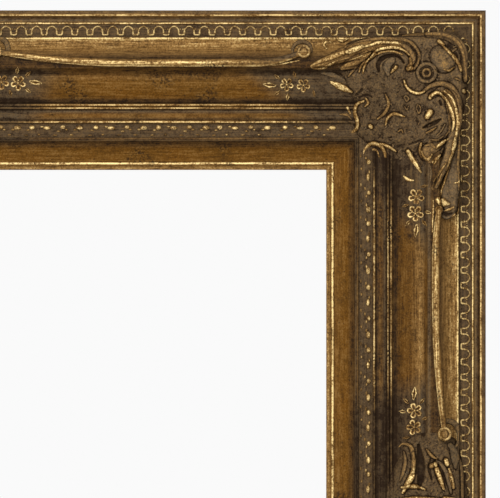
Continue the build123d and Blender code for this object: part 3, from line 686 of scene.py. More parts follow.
class Carving:
    """A height field on a square bench, in millimetres, carved stroke by stroke."""

    def __init__(self, low, high, step):
        first = np.arange(low[0], high[0] + step / 2, step)
        second = np.arange(low[1], high[1] + step / 2, step)
        self.step = step
        self.first, self.second = np.meshgrid(first, second, indexing="ij")
        self.height = np.zeros(self.first.shape)
        self.inside = np.zeros(self.first.shape, dtype=bool)
        self.gold = np.full(self.first.shape, GROUND_GOLD)
        self.dust = np.full(self.first.shape, GROUND_DUST)
        self.dark = np.zeros(self.first.shape)
        self.crest = np.zeros(self.first.shape)

    def near(self, points, reach):
        """Index window round a line of points."""
        low = points.min(axis=0) - reach
        high = points.max(axis=0) + reach
        rows = slice(max(0, int((low[0] - self.first[0, 0]) / self.step)),
                     min(self.first.shape[0], int((high[0] - self.first[0, 0]) / self.step) + 2))
        columns = slice(max(0, int((low[1] - self.second[0, 0]) / self.step)),
                        min(self.first.shape[1], int((high[1] - self.second[0, 0]) / self.step) + 2))
        return rows, columns

    def along(self, points, window):
        """Distance to a line of points, and the share of its length at the nearest place."""
        a = self.first[window]
        b = self.second[window]
        gaps = np.linalg.norm(np.diff(points, axis=0), axis=1)
        marks = np.concatenate([[0.0], np.cumsum(gaps)])
        best = np.full(a.shape, 1e9)
        share = np.zeros(a.shape)
        for number, gap in enumerate(gaps):
            p = points[number]
            d = (points[number + 1] - p) / max(gap, 1e-9)
            t = np.clip((a - p[0]) * d[0] + (b - p[1]) * d[1], 0.0, gap)
            far = np.hypot(a - p[0] - t * d[0], b - p[1] - t * d[1])
            closer = far < best
            best = np.where(closer, far, best)
            share = np.where(closer, (marks[number] + t) / max(marks[-1], 1e-9), share)
        return best, share

    def across(self, points, widths, reach):
        """Window round a smooth line, and in it the offset over the half width, and that half width."""
        line = smooth_line(points)
        window = self.near(line, max(widths) * reach + 0.5)
        gap, share = self.along(line, window)
        half = np.interp(share, np.linspace(0.0, 1.0, len(widths)), widths)
        return window, gap / np.maximum(half, 0.05), half

    def stroke(self, points, widths, rise, gold, cut="round", moat=0.5, stand=None, dust=0.0):
        """Raise a line: half widths along it, rise of its back, how much gold it keeps, and its section."""
        window, x, half = self.across(points, widths, 1.8)
        if cut == "round":
            section = np.sqrt(np.clip(1.0 - x * x, 0.0, None))
        elif cut == "ridge":
            section = np.clip(1.0 - x, 0.0, None) ** 0.8
        elif cut == "hollow":
            section = np.where(x < 1.0, 0.35 + 0.65 * unit(x) ** 2, 0.0)
            section *= unit((1.0 - x) / 0.12)
        else:
            section = unit((1.0 - x) / 0.35)
        lift = (half / max(widths)) ** 0.5 * rise
        body = self.height[window]
        crest = self.crest[window]
        base = body if stand is None else np.full(body.shape, stand)
        raised = base + lift * section
        within = x < 1.0
        trench = np.where(within, 0.0, np.exp(-(((x - 1.0) * half) / 0.8) ** 2))
        trench *= 1.0 - 0.85 * crest
        over = within & (raised >= body)
        self.height[window] = np.where(over, raised, body - moat * trench)
        # The gold kept along the back stands for rubbed gold and a painted highlight; shade paints darkness
        # on a stroke's flanks and in a hollow's middle, and the moat round it is darkened by glaze and
        # painted shadow
        if cut == "hollow":
            keep = unit((x - 0.3) / 0.3) * unit((1.15 - x) / 0.2)
            shade = unit(1.0 - x / 0.55) * 0.75
        else:
            keep = unit(1.0 - (x / 0.95) ** 3)
            shade = unit((x - 0.6) / 0.4) * 0.5
        plain = 1.0 - min(1.0, gold * 1.5)
        self.gold[window] = np.where(over, gold * keep, self.gold[window] * (1.0 - 0.6 * trench))
        self.dust[window] = np.where(over, max(dust, min(1.0, 1.15 * plain)), self.dust[window])
        moat_glaze_and_shadow = np.maximum(self.dark[window], (0.16 + 0.42 * moat) * trench)
        self.dark[window] = np.where(over, shade, moat_glaze_and_shadow)
        self.crest[window] = np.where(over, keep, crest)
        self.inside[window] |= x < 1.0 + 0.6 / np.maximum(half, 0.3)

    def dig(self, points, widths, depth, dark):
        """Cut a hollow line, its floor darkened with painted shadow and glaze."""
        window, x, _ = self.across(points, widths, 1.4)
        bowl = np.clip(1.0 - x * x, 0.0, None)
        self.height[window] -= depth * bowl
        self.dark[window] = np.maximum(self.dark[window], dark * unit(bowl * 1.5))
        self.gold[window] *= 1.0 - 0.8 * unit(bowl)

    def blurred(self, field, spread):
        """Gaussian blur of a field, spread in millimetres."""
        reach = int(math.ceil(spread * 3 / self.step))
        kernel = np.exp(-0.5 * (np.arange(-reach, reach + 1) * self.step / spread) ** 2)
        kernel /= kernel.sum()
        wide = np.pad(field, reach, mode="edge")
        wide = np.apply_along_axis(lambda row: np.convolve(row, kernel, mode="valid"), 0, wide)
        return np.apply_along_axis(lambda row: np.convolve(row, kernel, mode="valid"), 1, wide)

    def marks(self):
        """What the gilder's cloth and the dust leave, with light and shade painted in: rub and a painted
        highlight on crests, glaze and painted shade in cuts, dust on the ground.
        """
        fine = self.height - self.blurred(self.height, 1.1)
        broad = self.height - self.blurred(self.height, 3.5)
        crest = unit(fine / 0.3) * 0.6 + unit(broad / 1.2) * 0.4
        hollow = unit(-fine / 0.35) * 0.6 + unit(-broad / 1.4) * 0.4
        rub_and_highlight = self.gold * (0.35 + 0.5 * crest)
        glaze_and_shade = np.clip(hollow * 0.75 * (1.0 - 0.6 * self.gold) + self.dark, 0.0, 0.97)
        return {"rub_and_highlight": unit(rub_and_highlight), "dust": unit(self.dust), "glaze_and_shade": glaze_and_shade}

    def mesh_data(self, underside):
        """Points (first, second, up), faces and marks of the carved part, closed by a flat underside."""
        keep = self.inside
        cells = keep[:-1, :-1] & keep[1:, :-1] & keep[1:, 1:] & keep[:-1, 1:]
        used = np.zeros(keep.shape, dtype=bool)
        used[:-1, :-1] |= cells
        used[1:, :-1] |= cells
        used[1:, 1:] |= cells
        used[:-1, 1:] |= cells
        number = np.full(keep.shape, -1)
        number[used] = np.arange(used.sum())
        rows, columns = np.nonzero(cells)
        quads = np.stack([number[rows, columns], number[rows + 1, columns],
                          number[rows + 1, columns + 1], number[rows, columns + 1]], axis=1)
        points = np.stack([self.first[used], self.second[used], self.height[used]], axis=1)
        marks = {label: values[used] for label, values in self.marks().items()}
        count = len(points)
        starts = quads.ravel()
        ends = np.roll(quads, -1, axis=1).ravel()
        forward = starts * np.int64(count) + ends
        backward = ends * np.int64(count) + starts
        rim = ~np.isin(forward, backward)
        rim_edges = np.stack([starts[rim], ends[rim]], axis=1)
        rim_points = np.unique(rim_edges)
        lower = np.full(count, -1)
        lower[rim_points] = count + np.arange(len(rim_points))
        skirt = points[rim_points].copy()
        skirt[:, 2] = underside
        walls = np.stack([rim_edges[:, 1], rim_edges[:, 0],
                          lower[rim_edges[:, 0]], lower[rim_edges[:, 1]]], axis=1)
        faces = [tuple(f) for f in quads.tolist()] + [tuple(f) for f in walls.tolist()]
        faces += rim_loops({int(lower[s]): int(lower[e]) for s, e in rim_edges})
        points = np.concatenate([points, skirt])
        marks = {label: np.concatenate([values, values[rim_points]]) for label, values in marks.items()}
        return points, faces, marks


def rim_loops(following):
    """Closed loops of a rim, each as one face that shuts the underside."""
    loops = []
    while following:
        first, here = next(iter(following.items()))
        loop = [first]
        del following[first]
        while here != first:
            loop.append(here)
            if here not in following:
                break
            here = following.pop(here)
        if len(loop) > 2:
            loops.append(tuple(loop))
    return loops


def arc(centre, radius, first, last, steps):
    """Points round a bend in equal steps, angles in degrees."""
    turns = np.radians(np.linspace(first, last, steps + 1))
    return [(centre[0] + radius * math.cos(t), centre[1] + radius * math.sin(t)) for t in turns]


def smooth_line(points, share=12):
    """A smooth line through the given points."""
    points = np.asarray(points, dtype=float)
    if len(points) == 2:
        return np.linspace(points[0], points[1], share)
    padded = np.concatenate([[2 * points[0] - points[1]], points, [2 * points[-1] - points[-2]]])
    line = []
    for number in range(1, len(padded) - 2):
        p0, p1, p2, p3 = padded[number - 1:number + 3]
        for t in np.linspace(0.0, 1.0, share, endpoint=False):
            line.append(0.5 * (2 * p1 + (p2 - p0) * t + (2 * p0 - 5 * p1 + 4 * p2 - p3) * t ** 2
                               + (3 * p1 - p0 - 3 * p2 + p3) * t ** 3))
    line.append(padded[-2])
    return np.array(line)


def soft_mask(first, second, outline, blend):
    """How far places belong to an outline, 0 to 1 across a blend on its line, and which are inside it."""
    line = smooth_line(list(outline) + [outline[0]], 6)
    inside = np.zeros(first.shape, dtype=bool)
    gap = np.full(first.shape, 1e9)
    for p, q in zip(line[:-1], line[1:]):
        crossing = ((p[1] > second) != (q[1] > second))
        slope = (q[0] - p[0]) / ((q[1] - p[1]) if abs(q[1] - p[1]) > 1e-9 else 1e-9)
        inside ^= crossing & (first < slope * (second - p[1]) + p[0])
        d = q - p
        size = max(float(d @ d), 1e-9)
        t = unit(((first - p[0]) * d[0] + (second - p[1]) * d[1]) / size)
        gap = np.minimum(gap, np.hypot(first - p[0] - t * d[0], second - p[1] - t * d[1]))
    signed = np.where(inside, gap, -gap)
    return unit(signed / blend + 0.5), inside


def ripple(first, second, size, seed):
    """A seeded uneven ground, about -1 to 1."""
    rng = np.random.default_rng(seed)
    total = np.zeros(first.shape)
    for _ in range(14):
        angle = rng.uniform(0.0, math.tau)
        pace = math.tau / (size * rng.uniform(0.6, 1.6))
        phase = rng.uniform(0.0, math.tau)
        total += np.sin((first * math.cos(angle) + second * math.sin(angle)) * pace + phase)
    return total / 6.0


def hatch(carving, outline, count, seed):
    """Short seeded tool marks, raised and cut, that roughen a ground inside an outline."""
    rng = np.random.default_rng(seed)
    spots = np.argwhere(soft_mask(carving.first, carving.second, outline, 2.0)[1])
    for row, column in spots[rng.integers(0, len(spots), count)]:
        a, b = carving.first[row, column], carving.second[row, column]
        heading = rng.uniform(0.0, math.tau)
        reach = rng.uniform(0.8, 2.4)
        end = (a + reach * math.cos(heading), b + reach * math.sin(heading))
        half = rng.uniform(0.4, 0.7)
        if rng.uniform() < 0.55:
            carving.dig([(a, b), end], (half, half * 0.7), 0.35, rng.uniform(0.1, 0.5))
        else:
            gold = rng.uniform(0.02, 0.2)
            carving.stroke([(a, b), end], (half, half * 0.7), 0.4, gold, moat=0.15, dust=0.8)


def flower(carving, centre, radius, gold):
    """A five-petalled flower: hollowed lobes with bright rims on a bed darkened with painted shadow, round a
    small eye.
    """
    bed = (centre, (centre[0] + 0.1, centre[1]))
    carving.stroke(bed, (radius * 1.15, radius * 1.15), 0.1, 0.0, "flat", 0.1, dust=0.9)
    carving.dig(bed, (radius * 1.1, radius * 1.1), 0.5, 0.7)
    for petal, share in enumerate((1.0, 0.6, 0.9, 0.5, 0.8)):
        angle = math.radians(72.0 * petal + 18.0)
        line = [(centre[0] + radius * reach * math.cos(angle), centre[1] + radius * reach * math.sin(angle))
                for reach in (0.4, 0.66)]
        carving.stroke(line, (radius * 0.3, radius * 0.36), 1.3, gold * share, "hollow", 0.9)
    carving.stroke((centre, (centre[0] + 0.2, centre[1])), (0.9, 0.9), 1.3, gold, moat=0.9)


def ring(carving, centre, radius, half, rise, gold):
    """A raised ring."""
    carving.stroke(arc(centre, radius, 0.0, 360.0, 14), (half, half), rise, gold)


# Leaves of a spray: forward and aside of its root, turn in degrees, length, half width, share of the gold
SPRAY_LEAVES = (
    (21.5, 0.4, -8, 8.5, 2.1, 1.0), (18.0, 4.4, 40, 5.0, 1.4, 0.5), (18.0, -4.8, -38, 5.0, 1.4, 0.7),
    (11.5, 6.6, 80, 4.2, 1.6, 0.9), (6.0, -6.2, -70, 4.4, 1.4, 0.4), (-7.5, 3.6, 100, 5.0, 1.2, 0.4),
)
SPRAY_GOLD = 1.35
SECOND_FLOWER = (12.6, -0.6)


def spray(carving, root, heading, bloom):
    """Two flowers and a pointed bud with leaves, laid along a panel from its root."""
    c, s = math.cos(math.radians(heading)), math.sin(math.radians(heading))

    def at(forward, sideways):
        return (root[0] + forward * c - sideways * s, root[1] + forward * s + sideways * c)

    for forward, sideways, turn, size, half, share in SPRAY_LEAVES:
        a = math.radians(turn)
        line = [at(forward + size * reach * math.cos(a), sideways + size * reach * math.sin(a))
                for reach in (0.0, 0.5, 1.0)]
        carving.stroke(line, (half * 0.4, half, half * 0.35), 1.3, SPRAY_GOLD * share, "hollow", 0.9)
    flower(carving, root, bloom, SPRAY_GOLD * 0.7)
    flower(carving, at(*SECOND_FLOWER), bloom, SPRAY_GOLD)


# Ground and strokes of the corner cartouche, in millimetres in from the side edge and from the top edge.
# A stroke has its line, half widths, rise, gold kept, and its section where that isn't round.
CORNER_GROUND = (
    (112, 38), (104, 57), (97, 70), (99, 92), (86, 103), (72, 107), (60, 118), (46, 122), (33, 116),
    (23, 92), (17, 66), (16, 40), (20, 24), (32, 19), (56, 19.5), (84, 24), (104, 31),
)
CORNER_BODIES = (
    (((132, 42.4), (118.5, 38), (104, 32.5), (90, 27.5), (75, 25), (63, 27), (55.5, 33), (53, 40),
      (56, 44.5)),
     (1.4, 3.8, 5.6, 6.0, 5.6, 5.0, 4.0, 3.0, 2.0), 4.6, 0.5),
    (((21.5, 92), (22, 105), (24.2, 117.3), (26.4, 132.4), (27.5, 140), (27, 149)),
     (1.8, 2.4, 3.8, 6.0, 7.0, 5.4), 2.0, 0.1, "flat"),
    (((34, 152), (30, 155), (25, 154)), (2.0, 3.2, 2.0), 0.3, 0.05, "flat"),
    (((23, 84), (24.4, 94), (28, 107), (32, 119), (37.5, 134)), (3.6, 4.2, 3.6, 2.8, 1.2), 4.2, 0.16),
    (((40, 64.5), (34, 61), (28.5, 63.5), (24.5, 71), (22.5, 81), (23.4, 91), (24.6, 98)),
     (1.8, 3.2, 4.6, 4.9, 4.6, 3.6, 2.0), 4.4, 0.5),
    (((44, 18.6), (30, 19.6), (20.5, 25), (16.6, 33), (16.2, 43), (15.6, 53)),
     (2.0, 3.0, 3.4, 3.2, 2.6, 1.6), 2.2, 0.2, "flat"),
    (((31, 99), (38, 103), (44, 107), (42, 114)), (1.6, 4.2, 5.0, 2.6), 2.4, 0.24),
    (((84, 33), (94, 37), (103, 41.5), (109, 44)), (1.6, 4.6, 4.4, 1.4), 2.4, 0.4),
)
CORNER_HOLLOWS = (
    # line, half widths, depth, and darkness that paints shadow in the hollow
    (((81, 46), (81.6, 41.3), (79.3, 37), (74.8, 34.8), (69.5, 34.2), (65, 36), (62, 40)),
     (1.3, 2.1, 2.2, 1.9, 1.4, 1.2, 0.8), 2.2, 1.0),
    (((119.5, 51.5), (112.6, 52.2), (105.8, 55)), (0.8, 2.2, 1.1), 1.3, 0.85),
    (((47.5, 89), (43, 87), (38.5, 85), (34, 82.4)), (0.8, 1.9, 2.0, 0.7), 2.6, 1.0),
    (((34.8, 69), (34, 71.4)), (1.5, 1.2), 1.4, 0.9),
    (((28, 26), (26.4, 28)), (2.3, 2.1), 1.1, 0.7),
    (((22.6, 33.4), (22, 35.6)), (1.8, 1.6), 1.1, 0.7),
    (((31, 105), (33, 111), (36.6, 118.4)), (0.8, 1.3, 0.8), 1.4, 0.9),
    (((42, 137), (41, 146)), (1.2, 1.6), 1.0, 0.8),
    (((34, 152.6), (30, 154.6), (26, 153.6)), (1.6, 2.2, 1.4), 0.6, 0.75),
    (((98, 64), (93.6, 60)), (1.2, 1.6), 1.2, 0.7),
    (((96, 66), (90, 64), (86, 66)), (0.8, 1.4, 0.6), 1.0, 0.8),
    (((58, 101.5), (50, 98.5)), (0.8, 1.2), 0.8, 0.5),
)
CORNER_LINES = (
    # first scroll: grey rim, the gold back with its bright block, and the ridges under it
    (((106.5, 28), (102.8, 25), (95, 22.8), (84, 21.6), (72.5, 21.3), (63.5, 22), (57.4, 24.3), (53, 28.8),
      (50.6, 34), (51.4, 40), (54.4, 44.7)),
     (0.8, 1.3, 1.5, 1.5, 1.4, 1.4, 1.4, 1.2, 0.8), 1.4, 0.24),
    (((132.3, 42.4), (127, 39), (119.4, 36.4), (112, 33.7), (105.8, 31.5)),
     (0.8, 1.9, 2.4, 2.4, 2.0), 1.8, 0.55),
    (((105, 31.8), (99.8, 30), (93.7, 27.7)), (2.1, 2.6, 1.9), 2.3, 1.0),
    (((93.7, 28), (88.4, 26.9), (83, 25), (77, 24.3), (72.5, 24.7), (68, 24.7), (63.5, 26.2)),
     (0.8, 1.0, 1.4, 1.5, 1.1, 1.2, 0.9), 1.7, 0.95),
    (((63.5, 26.2), (59.7, 28.8), (56.7, 32.6), (55, 37), (56, 41)), (1.2, 2.2, 2.4, 2.2, 1.5), 1.6, 0.22),
    (((87, 35.6), (84.6, 32.6), (81, 30), (75.6, 28.8), (69.5, 28.3), (65, 29.2), (61.2, 31), (58.2, 34)),
     (0.9, 1.2, 1.4, 1.4, 1.3, 1.0, 0.8), 1.8, 0.8),
    (((113.4, 38.7), (118, 41.3), (122.5, 43.6), (127.8, 44.3), (132.3, 43.6)),
     (0.8, 1.1, 1.3, 1.1, 0.6), 1.5, 0.7),
    (((87, 30.3), (93.7, 33), (101.3, 35.6), (107.3, 37), (113.4, 38.7)), (0.6, 0.8, 0.9, 0.8), 1.0, 0.35),
    # its leaf, ribs and curled end
    (((87.7, 33), (93, 35.6), (99, 38.2), (105, 41), (109, 43.2)), (1.0, 3.0, 3.9, 3.2, 1.0), 2.2, 0.42),
    (((87, 32.2), (90.7, 34), (96, 36), (102.8, 38)), (0.8, 1.2, 1.1, 0.6), 1.0, 0.8),
    (((87, 37), (84.6, 34.5), (80, 32.2), (74, 31), (68, 31.8), (63.5, 33.7)),
     (0.7, 1.1, 1.0, 0.9, 0.7), 1.3, 0.55),
    (((93, 47.7), (92.2, 43.2), (90, 38.7), (87, 35.6)), (0.6, 1.0, 1.1, 0.7), 1.3, 0.6),
    (((96, 47), (94.5, 42.4), (91.4, 38.3)), (0.6, 0.9, 0.6), 1.1, 0.45),
    (((104, 50), (101, 46.5), (98, 43.4)), (0.6, 0.9, 0.5), 0.9, 0.3),
    (((74, 48.5), (74.8, 42.4), (71, 38)), (1.5, 3.2, 2.6), 1.2, 0.08),
    (((71.8, 47.3), (68, 43.2)), (0.8, 1.6), 1.2, 0.8),
    (((57.4, 36.4), (57, 41), (58.9, 44)), (1.0, 1.5, 1.8), 1.4, 0.5),
    (((58.8, 44.5), (56.4, 43.8)), (2.0, 1.9), 1.4, 0.6),
    (((146, 33.4), (146, 28.8), (143, 25), (137.6, 23.9), (133, 26.5), (131.5, 31.8)),
     (0.8, 1.3, 1.6, 1.5, 1.3, 0.7), 1.5, 0.14),
    (((120.4, 29), (122.3, 26.6), (120.9, 24), (116.4, 24.2)), (0.7, 1.1, 1.2, 0.7), 1.6, 0.75),
    (((112.4, 18.6), (112, 22), (108.6, 23.6), (105, 22)), (0.7, 1.1, 1.2, 0.7), 1.9, 0.75),
    # thin line that runs on under the button of the swept bead
    (((176, 42.8), (162, 41.6), (150, 39.8), (141, 38)), (0.4, 0.8, 0.9, 0.5), 0.9, 0.7),
    # leaf beside the first scroll
    (((117.2, 54.5), (112, 56.8), (106.6, 59.4), (101.3, 62)), (1.2, 2.8, 2.6, 0.8), 2.4, 0.9),
    (((124, 47.7), (115.6, 49.2), (107.3, 53)), (0.8, 2.4, 1.2), 1.6, 0.08),
    # shell: rim, cells and the gold between them
    (((63, 19.2), (56.7, 18.5), (44.2, 17.8), (32, 18.6), (24, 22), (19, 28), (16.6, 36), (15.4, 45),
      (15, 53)),
     (0.7, 1.3, 1.5, 1.6, 1.6, 1.5, 1.4, 1.3, 0.7), 1.5, 0.26),
    (((35.5, 23.5), (32.4, 26.4)), (1.7, 1.5), 1.1, 0.5),
    (((31.7, 28), (28, 31.5), (24, 35.6), (21, 40.2)), (0.9, 1.4, 1.7, 1.4), 1.3, 0.6),
    (((25, 31), (22.6, 29.2)), (0.9, 0.9), 0.9, 0.2),
    (((20.3, 41), (18.8, 45.5)), (1.3, 1.4), 1.1, 0.55),
    (((31.7, 45), (28, 45.8), (24, 43.2)), (0.6, 1.0, 0.6), 1.0, 0.45),
    (((23.4, 51.5), (19.6, 53)), (0.7, 0.7), 0.8, 0.25),
    (((16.8, 61), (16.4, 61.6)), (1.7, 1.7), 1.6, 0.9),
    # second scroll: smooth rim, the S that meets it, the bright hook and its two ridges
    (((47, 61.3), (42.3, 57.6), (36.2, 55.7), (30.2, 56.4), (25.6, 59), (22, 64.4), (19.6, 72), (18.8, 83),
      (19.2, 94.6), (20.3, 106), (21, 116), (20.6, 125), (20.4, 136)),
     (1.2, 1.9, 2.2, 2.2, 2.0, 1.8, 1.7, 1.6, 1.3, 1.0, 0.7), 1.9, 0.22),
    (((62, 53), (60.4, 57.6), (56.7, 61.3), (51.4, 63), (46.8, 61.7)), (0.7, 1.1, 1.3, 1.3, 0.8), 1.6, 0.7),
    (((42.3, 66.3), (40.8, 64), (37, 62.5), (33.2, 64)), (1.6, 1.6, 1.6, 1.2), 1.7, 0.8),
    (((34.7, 63), (30.2, 67.8), (27.2, 74.2), (25, 81), (24.5, 86.3), (25.6, 91.6)),
     (1.0, 1.3, 1.5, 1.7, 1.4, 0.6), 1.9, 0.8),
    (((31.7, 61.3), (26.4, 66), (23.4, 72), (22, 78.7), (21.2, 85.5), (22, 91.6), (23.4, 98.4)),
     (0.7, 1.0, 1.2, 1.4, 1.6, 1.3, 1.0), 1.8, 0.75),
    (((23.4, 97), (24.1, 103), (25, 107.5)), (1.2, 2.1, 1.4), 2.0, 1.0),
    (((25, 107.5), (27.2, 113.5), (29, 121), (31.4, 129.4), (33.7, 136), (34.6, 142)),
     (1.5, 1.4, 1.1, 0.9, 0.8, 0.7), 1.6, 0.5),
    (((30.2, 70.4), (28, 78.7), (27.4, 86.3), (28, 91.6), (30.2, 94.6)),
     (0.7, 1.0, 1.1, 0.9, 0.5), 1.1, 0.28),
    (((44.5, 81), (42.3, 77.2)), (2.1, 2.6), 2.2, 0.75),
    (((37.7, 95.4), (34, 91.6), (31, 86.3)), (0.5, 0.7, 0.5), 0.8, 0.14),
    (((42.3, 97.7), (37, 98.4), (32.4, 95.4)), (0.5, 0.9, 0.5), 0.9, 0.22),
    (((45.3, 93), (41.5, 91.2), (37.7, 88.6)), (0.6, 1.1, 0.5), 1.0, 0.35),
    # its leaf lobes and reeds, and the nose under a hood that ends it
    (((29, 97.6), (33.4, 100.6), (37.4, 103.8)), (0.8, 1.6, 1.3), 1.8, 0.75),
    (((49, 100.6), (49.6, 106), (47.6, 111.2), (43.8, 112.8), (40.6, 109)),
     (0.9, 1.5, 1.8, 1.5, 0.7), 1.8, 0.55),
    (((46, 102.4), (41.5, 101.6), (38.6, 104)), (0.8, 1.3, 0.9), 1.4, 0.25),
    (((34.6, 109.6), (37, 112.4), (39.4, 115)), (1.0, 1.9, 2.0), 1.9, 0.7),
    (((30.2, 115.6), (34, 121), (39.4, 129.4)), (0.7, 1.2, 0.8), 1.5, 0.42),
    (((33.6, 122), (36.8, 128.4), (40.2, 134.8)), (0.8, 2.2, 1.0), 1.5, 0.34, "hollow"),
    (((42, 118), (41.4, 124), (42.6, 131)), (0.6, 1.1, 0.5), 1.1, 0.12),
    (((36, 143.6), (33.8, 145.2), (27.8, 146.6)), (2.8, 3.7, 0.9), 2.8, 1.0),
    (((31, 151.6), (27.6, 150.6), (24.4, 149)), (0.7, 1.3, 0.8), 1.6, 0.5),
    (((20.6, 143), (20.4, 148), (21.4, 152.6), (25.4, 156.4)), (0.8, 1.2, 1.2, 0.7), 1.6, 0.4),
    (((29.4, 128), (29.2, 135), (27.6, 140.6), (25.4, 143)), (0.5, 0.7, 0.7, 0.4), 0.6, 0.1),
    (((40, 143.6), (39.8, 150), (40.2, 159), (40.4, 168)), (0.5, 1.0, 0.8, 0.5), 0.9, 0.6),
    (((19.6, 122.6), (18.8, 126.4), (20.7, 130.2), (23.4, 130.6)), (0.7, 0.9, 0.9, 0.6), 1.1, 0.85),
    (((18.8, 120), (15.8, 121)), (0.7, 0.6), 0.9, 0.7),
    # small arcs and curls on the ground
    (((75.9, 87.1), (74.1, 81.2), (69.2, 78.4), (61.5, 80.6)), (0.6, 1.3, 1.3, 0.6), 1.3, 0.55),
    (((82, 82.4), (76.4, 77.5), (73.6, 70.8), (75.9, 63.9)), (0.6, 1.3, 1.3, 0.6), 1.3, 0.35),
    (((61.5, 66.5), (60, 69), (58.4, 66.8), (60.6, 64.8), (62, 66.4)), (0.5, 0.6, 0.5), 0.8, 0.18),
    (((52.4, 75), (50.6, 78), (49.4, 74), (51.6, 71.6), (52.6, 74.4)), (0.5, 0.6, 0.5), 0.8, 0.18),
    (((61.5, 73), (59.6, 75.4), (58.6, 72.6)), (0.5, 0.6, 0.4), 0.8, 0.2),
    (((66.6, 92), (64, 90.6), (62.6, 93)), (0.5, 0.8, 0.5), 0.8, 0.3),
    (((87.5, 87.6), (86.7, 88.4)), (1.8, 1.8), 1.7, 0.75),
    # left curl and its leaf
    (((92.4, 68.8), (97.6, 71.2), (99.2, 77.4), (97.2, 84.2), (98.6, 90.4), (106.9, 95.2)),
     (0.9, 1.5, 1.6, 1.6, 1.4, 0.6), 1.6, 0.65),
    (((91, 66.4), (89, 70), (91.4, 73)), (0.6, 1.1, 0.6), 1.1, 0.5),
    (((104.6, 73.6), (102.4, 78.4)), (1.2, 0.8), 1.2, 0.75),
    (((110.4, 78.7), (105.1, 79), (101.6, 82.5)), (0.5, 1.5, 0.5), 1.0, 0.3, "ridge"),
    # arch over the end of the berry run, its branch, and the stem on the panel
    (((93, 111), (91.3, 104.9), (85.8, 100.8), (80.1, 102.4), (76.9, 106.4), (75.9, 111)),
     (0.9, 1.7, 1.7, 1.6, 0.9), 1.7, 0.65),
    (((88.6, 110.4), (87.1, 106.4), (84.3, 105.1), (81.8, 107), (80.7, 111)),
     (0.5, 0.9, 0.9, 0.5), 1.0, 0.5),
    (((79.9, 100.8), (73.8, 103.1), (68, 106.7)), (0.9, 1.5, 0.7), 1.4, 0.65),
    (((58.9, 106.7), (56, 112), (52, 118), (49, 122.6)), (1.7, 2.1, 1.8, 0.9), 2.0, 0.95),
    (((62, 125.6), (58.9, 128), (55, 128.7)), (0.8, 1.7, 0.8), 1.5, 0.8),
)

# Ground of the centre cartouche and strokes of one half of it, in millimetres along the rail from its middle
# and in from its outer edge
CENTRE_GROUND = (
    (0, 17), (14, 18.5), (28, 22), (41, 26), (45, 36), (43, 54), (30, 61), (16, 67), (0, 70),
    (-16, 67), (-30, 61), (-43, 54), (-45, 36), (-41, 26), (-28, 22), (-14, 18.5),
)
CENTRE_HOLLOWS = (
    # line, half widths, depth, and darkness that paints shadow in the hollow
    (((41, 51), (35, 50.2), (26, 49.2), (16, 49.4), (8, 51)), (1.4, 3.6, 4.2, 3.6, 1.4), 2.4, 1.0),
    (((31, 42), (24, 43), (15, 41)), (0.8, 1.8, 0.8), 1.2, 0.75),
)
CENTRE_LINES = (
    (((41, 27), (37.3, 24.6), (31.2, 23.4), (24, 23)), (2.0, 3.2, 3.0, 1.2), 0.9, 0.08),
    (((39.6, 65.7), (42, 62.7), (41, 58.2), (38, 56), (32, 55)), (0.5, 1.0, 1.4, 1.8, 1.6), 1.7, 0.28),
    (((35, 55), (28, 54.6), (21, 55.4)), (1.2, 2.0, 1.8), 1.9, 0.3),
    (((24, 54.6), (18, 56), (12.3, 59), (5, 63)), (1.2, 2.6, 2.3, 1.0), 2.4, 0.85),
    (((36, 62), (29, 61), (21, 62.5), (14, 65)), (0.6, 1.4, 1.4, 0.5), 1.3, 0.2, "ridge"),
    (((25.2, 41.5), (26.7, 37.8)), (1.9, 1.9), 1.6, 0.4),
    (((27.5, 38.5), (22.2, 37), (16, 34.7), (8, 32)), (1.2, 2.1, 1.9, 1.0), 1.8, 0.75),
    (((29, 37.4), (26.7, 34), (20.7, 30.2), (13, 28), (5, 26.4)), (0.8, 1.7, 1.8, 1.6, 0.8), 1.6, 0.1),
    (((29.7, 30.2), (26.7, 29.4)), (1.9, 1.9), 1.9, 0.85),
    (((23, 28), (17, 26.4), (9, 24.6)), (1.0, 1.7, 1.3), 1.5, 0.65),
    (((33.5, 21), (26, 18.8), (18.4, 18), (8, 17.8), (0, 17.6)), (0.8, 1.3, 1.4, 1.3, 1.2), 1.3, 0.18),
    (((38, 45), (33, 41), (30.5, 37)), (0.6, 1.3, 0.6), 1.2, 0.3),
    (((56, 35), (59.2, 29.4), (57, 23.4), (51, 20.4), (45, 20.4), (39.6, 22.6)),
     (1.0, 2.0, 2.3, 2.1, 1.6, 0.8), 1.7, 0.14),
    (((9, 64), (10, 54), (7.6, 46)), (1.0, 2.0, 0.6), 1.6, 0.75, "ridge"),
)
CENTRE_SPINE = (
    (((0, 66), (0, 56), (0, 44), (0, 33)), (1.0, 2.6, 2.2, 0.8), 2.4, 0.85, "ridge"),
    (((0, 31), (0, 24)), (2.6, 1.6), 1.9, 0.8),
)

# Benches, and the barrel-backed grounds on them: height of the back, its radius and line, and its soft edge
CORNER_BENCH, CENTRE_BENCH = ((8.0, 8.0), (178.0, 182.0)), ((-90.0, 10.0), (90.0, 76.0))
CORNER_BACK, CORNER_BARREL, CORNER_RIDGE, CORNER_EDGE = 58.6, 112.0, 92.0, 6.0
CENTRE_BACK, CENTRE_BARREL, CENTRE_RIDGE, CENTRE_EDGE = 57.4, 95.0, 40.0, 11.0
CENTRE_FALL = 45.0
# Flat undersides of the ornaments, let into the rails
CORNER_UNDERSIDE, CENTRE_UNDERSIDE = 28.0, 33.0
# Heights that the scrolls, which rise more than the leaves, and the leaves stand on
SCROLL_RISE, SCROLL_STAND, LEAF_STAND = 4.0, 55.5, 52.5
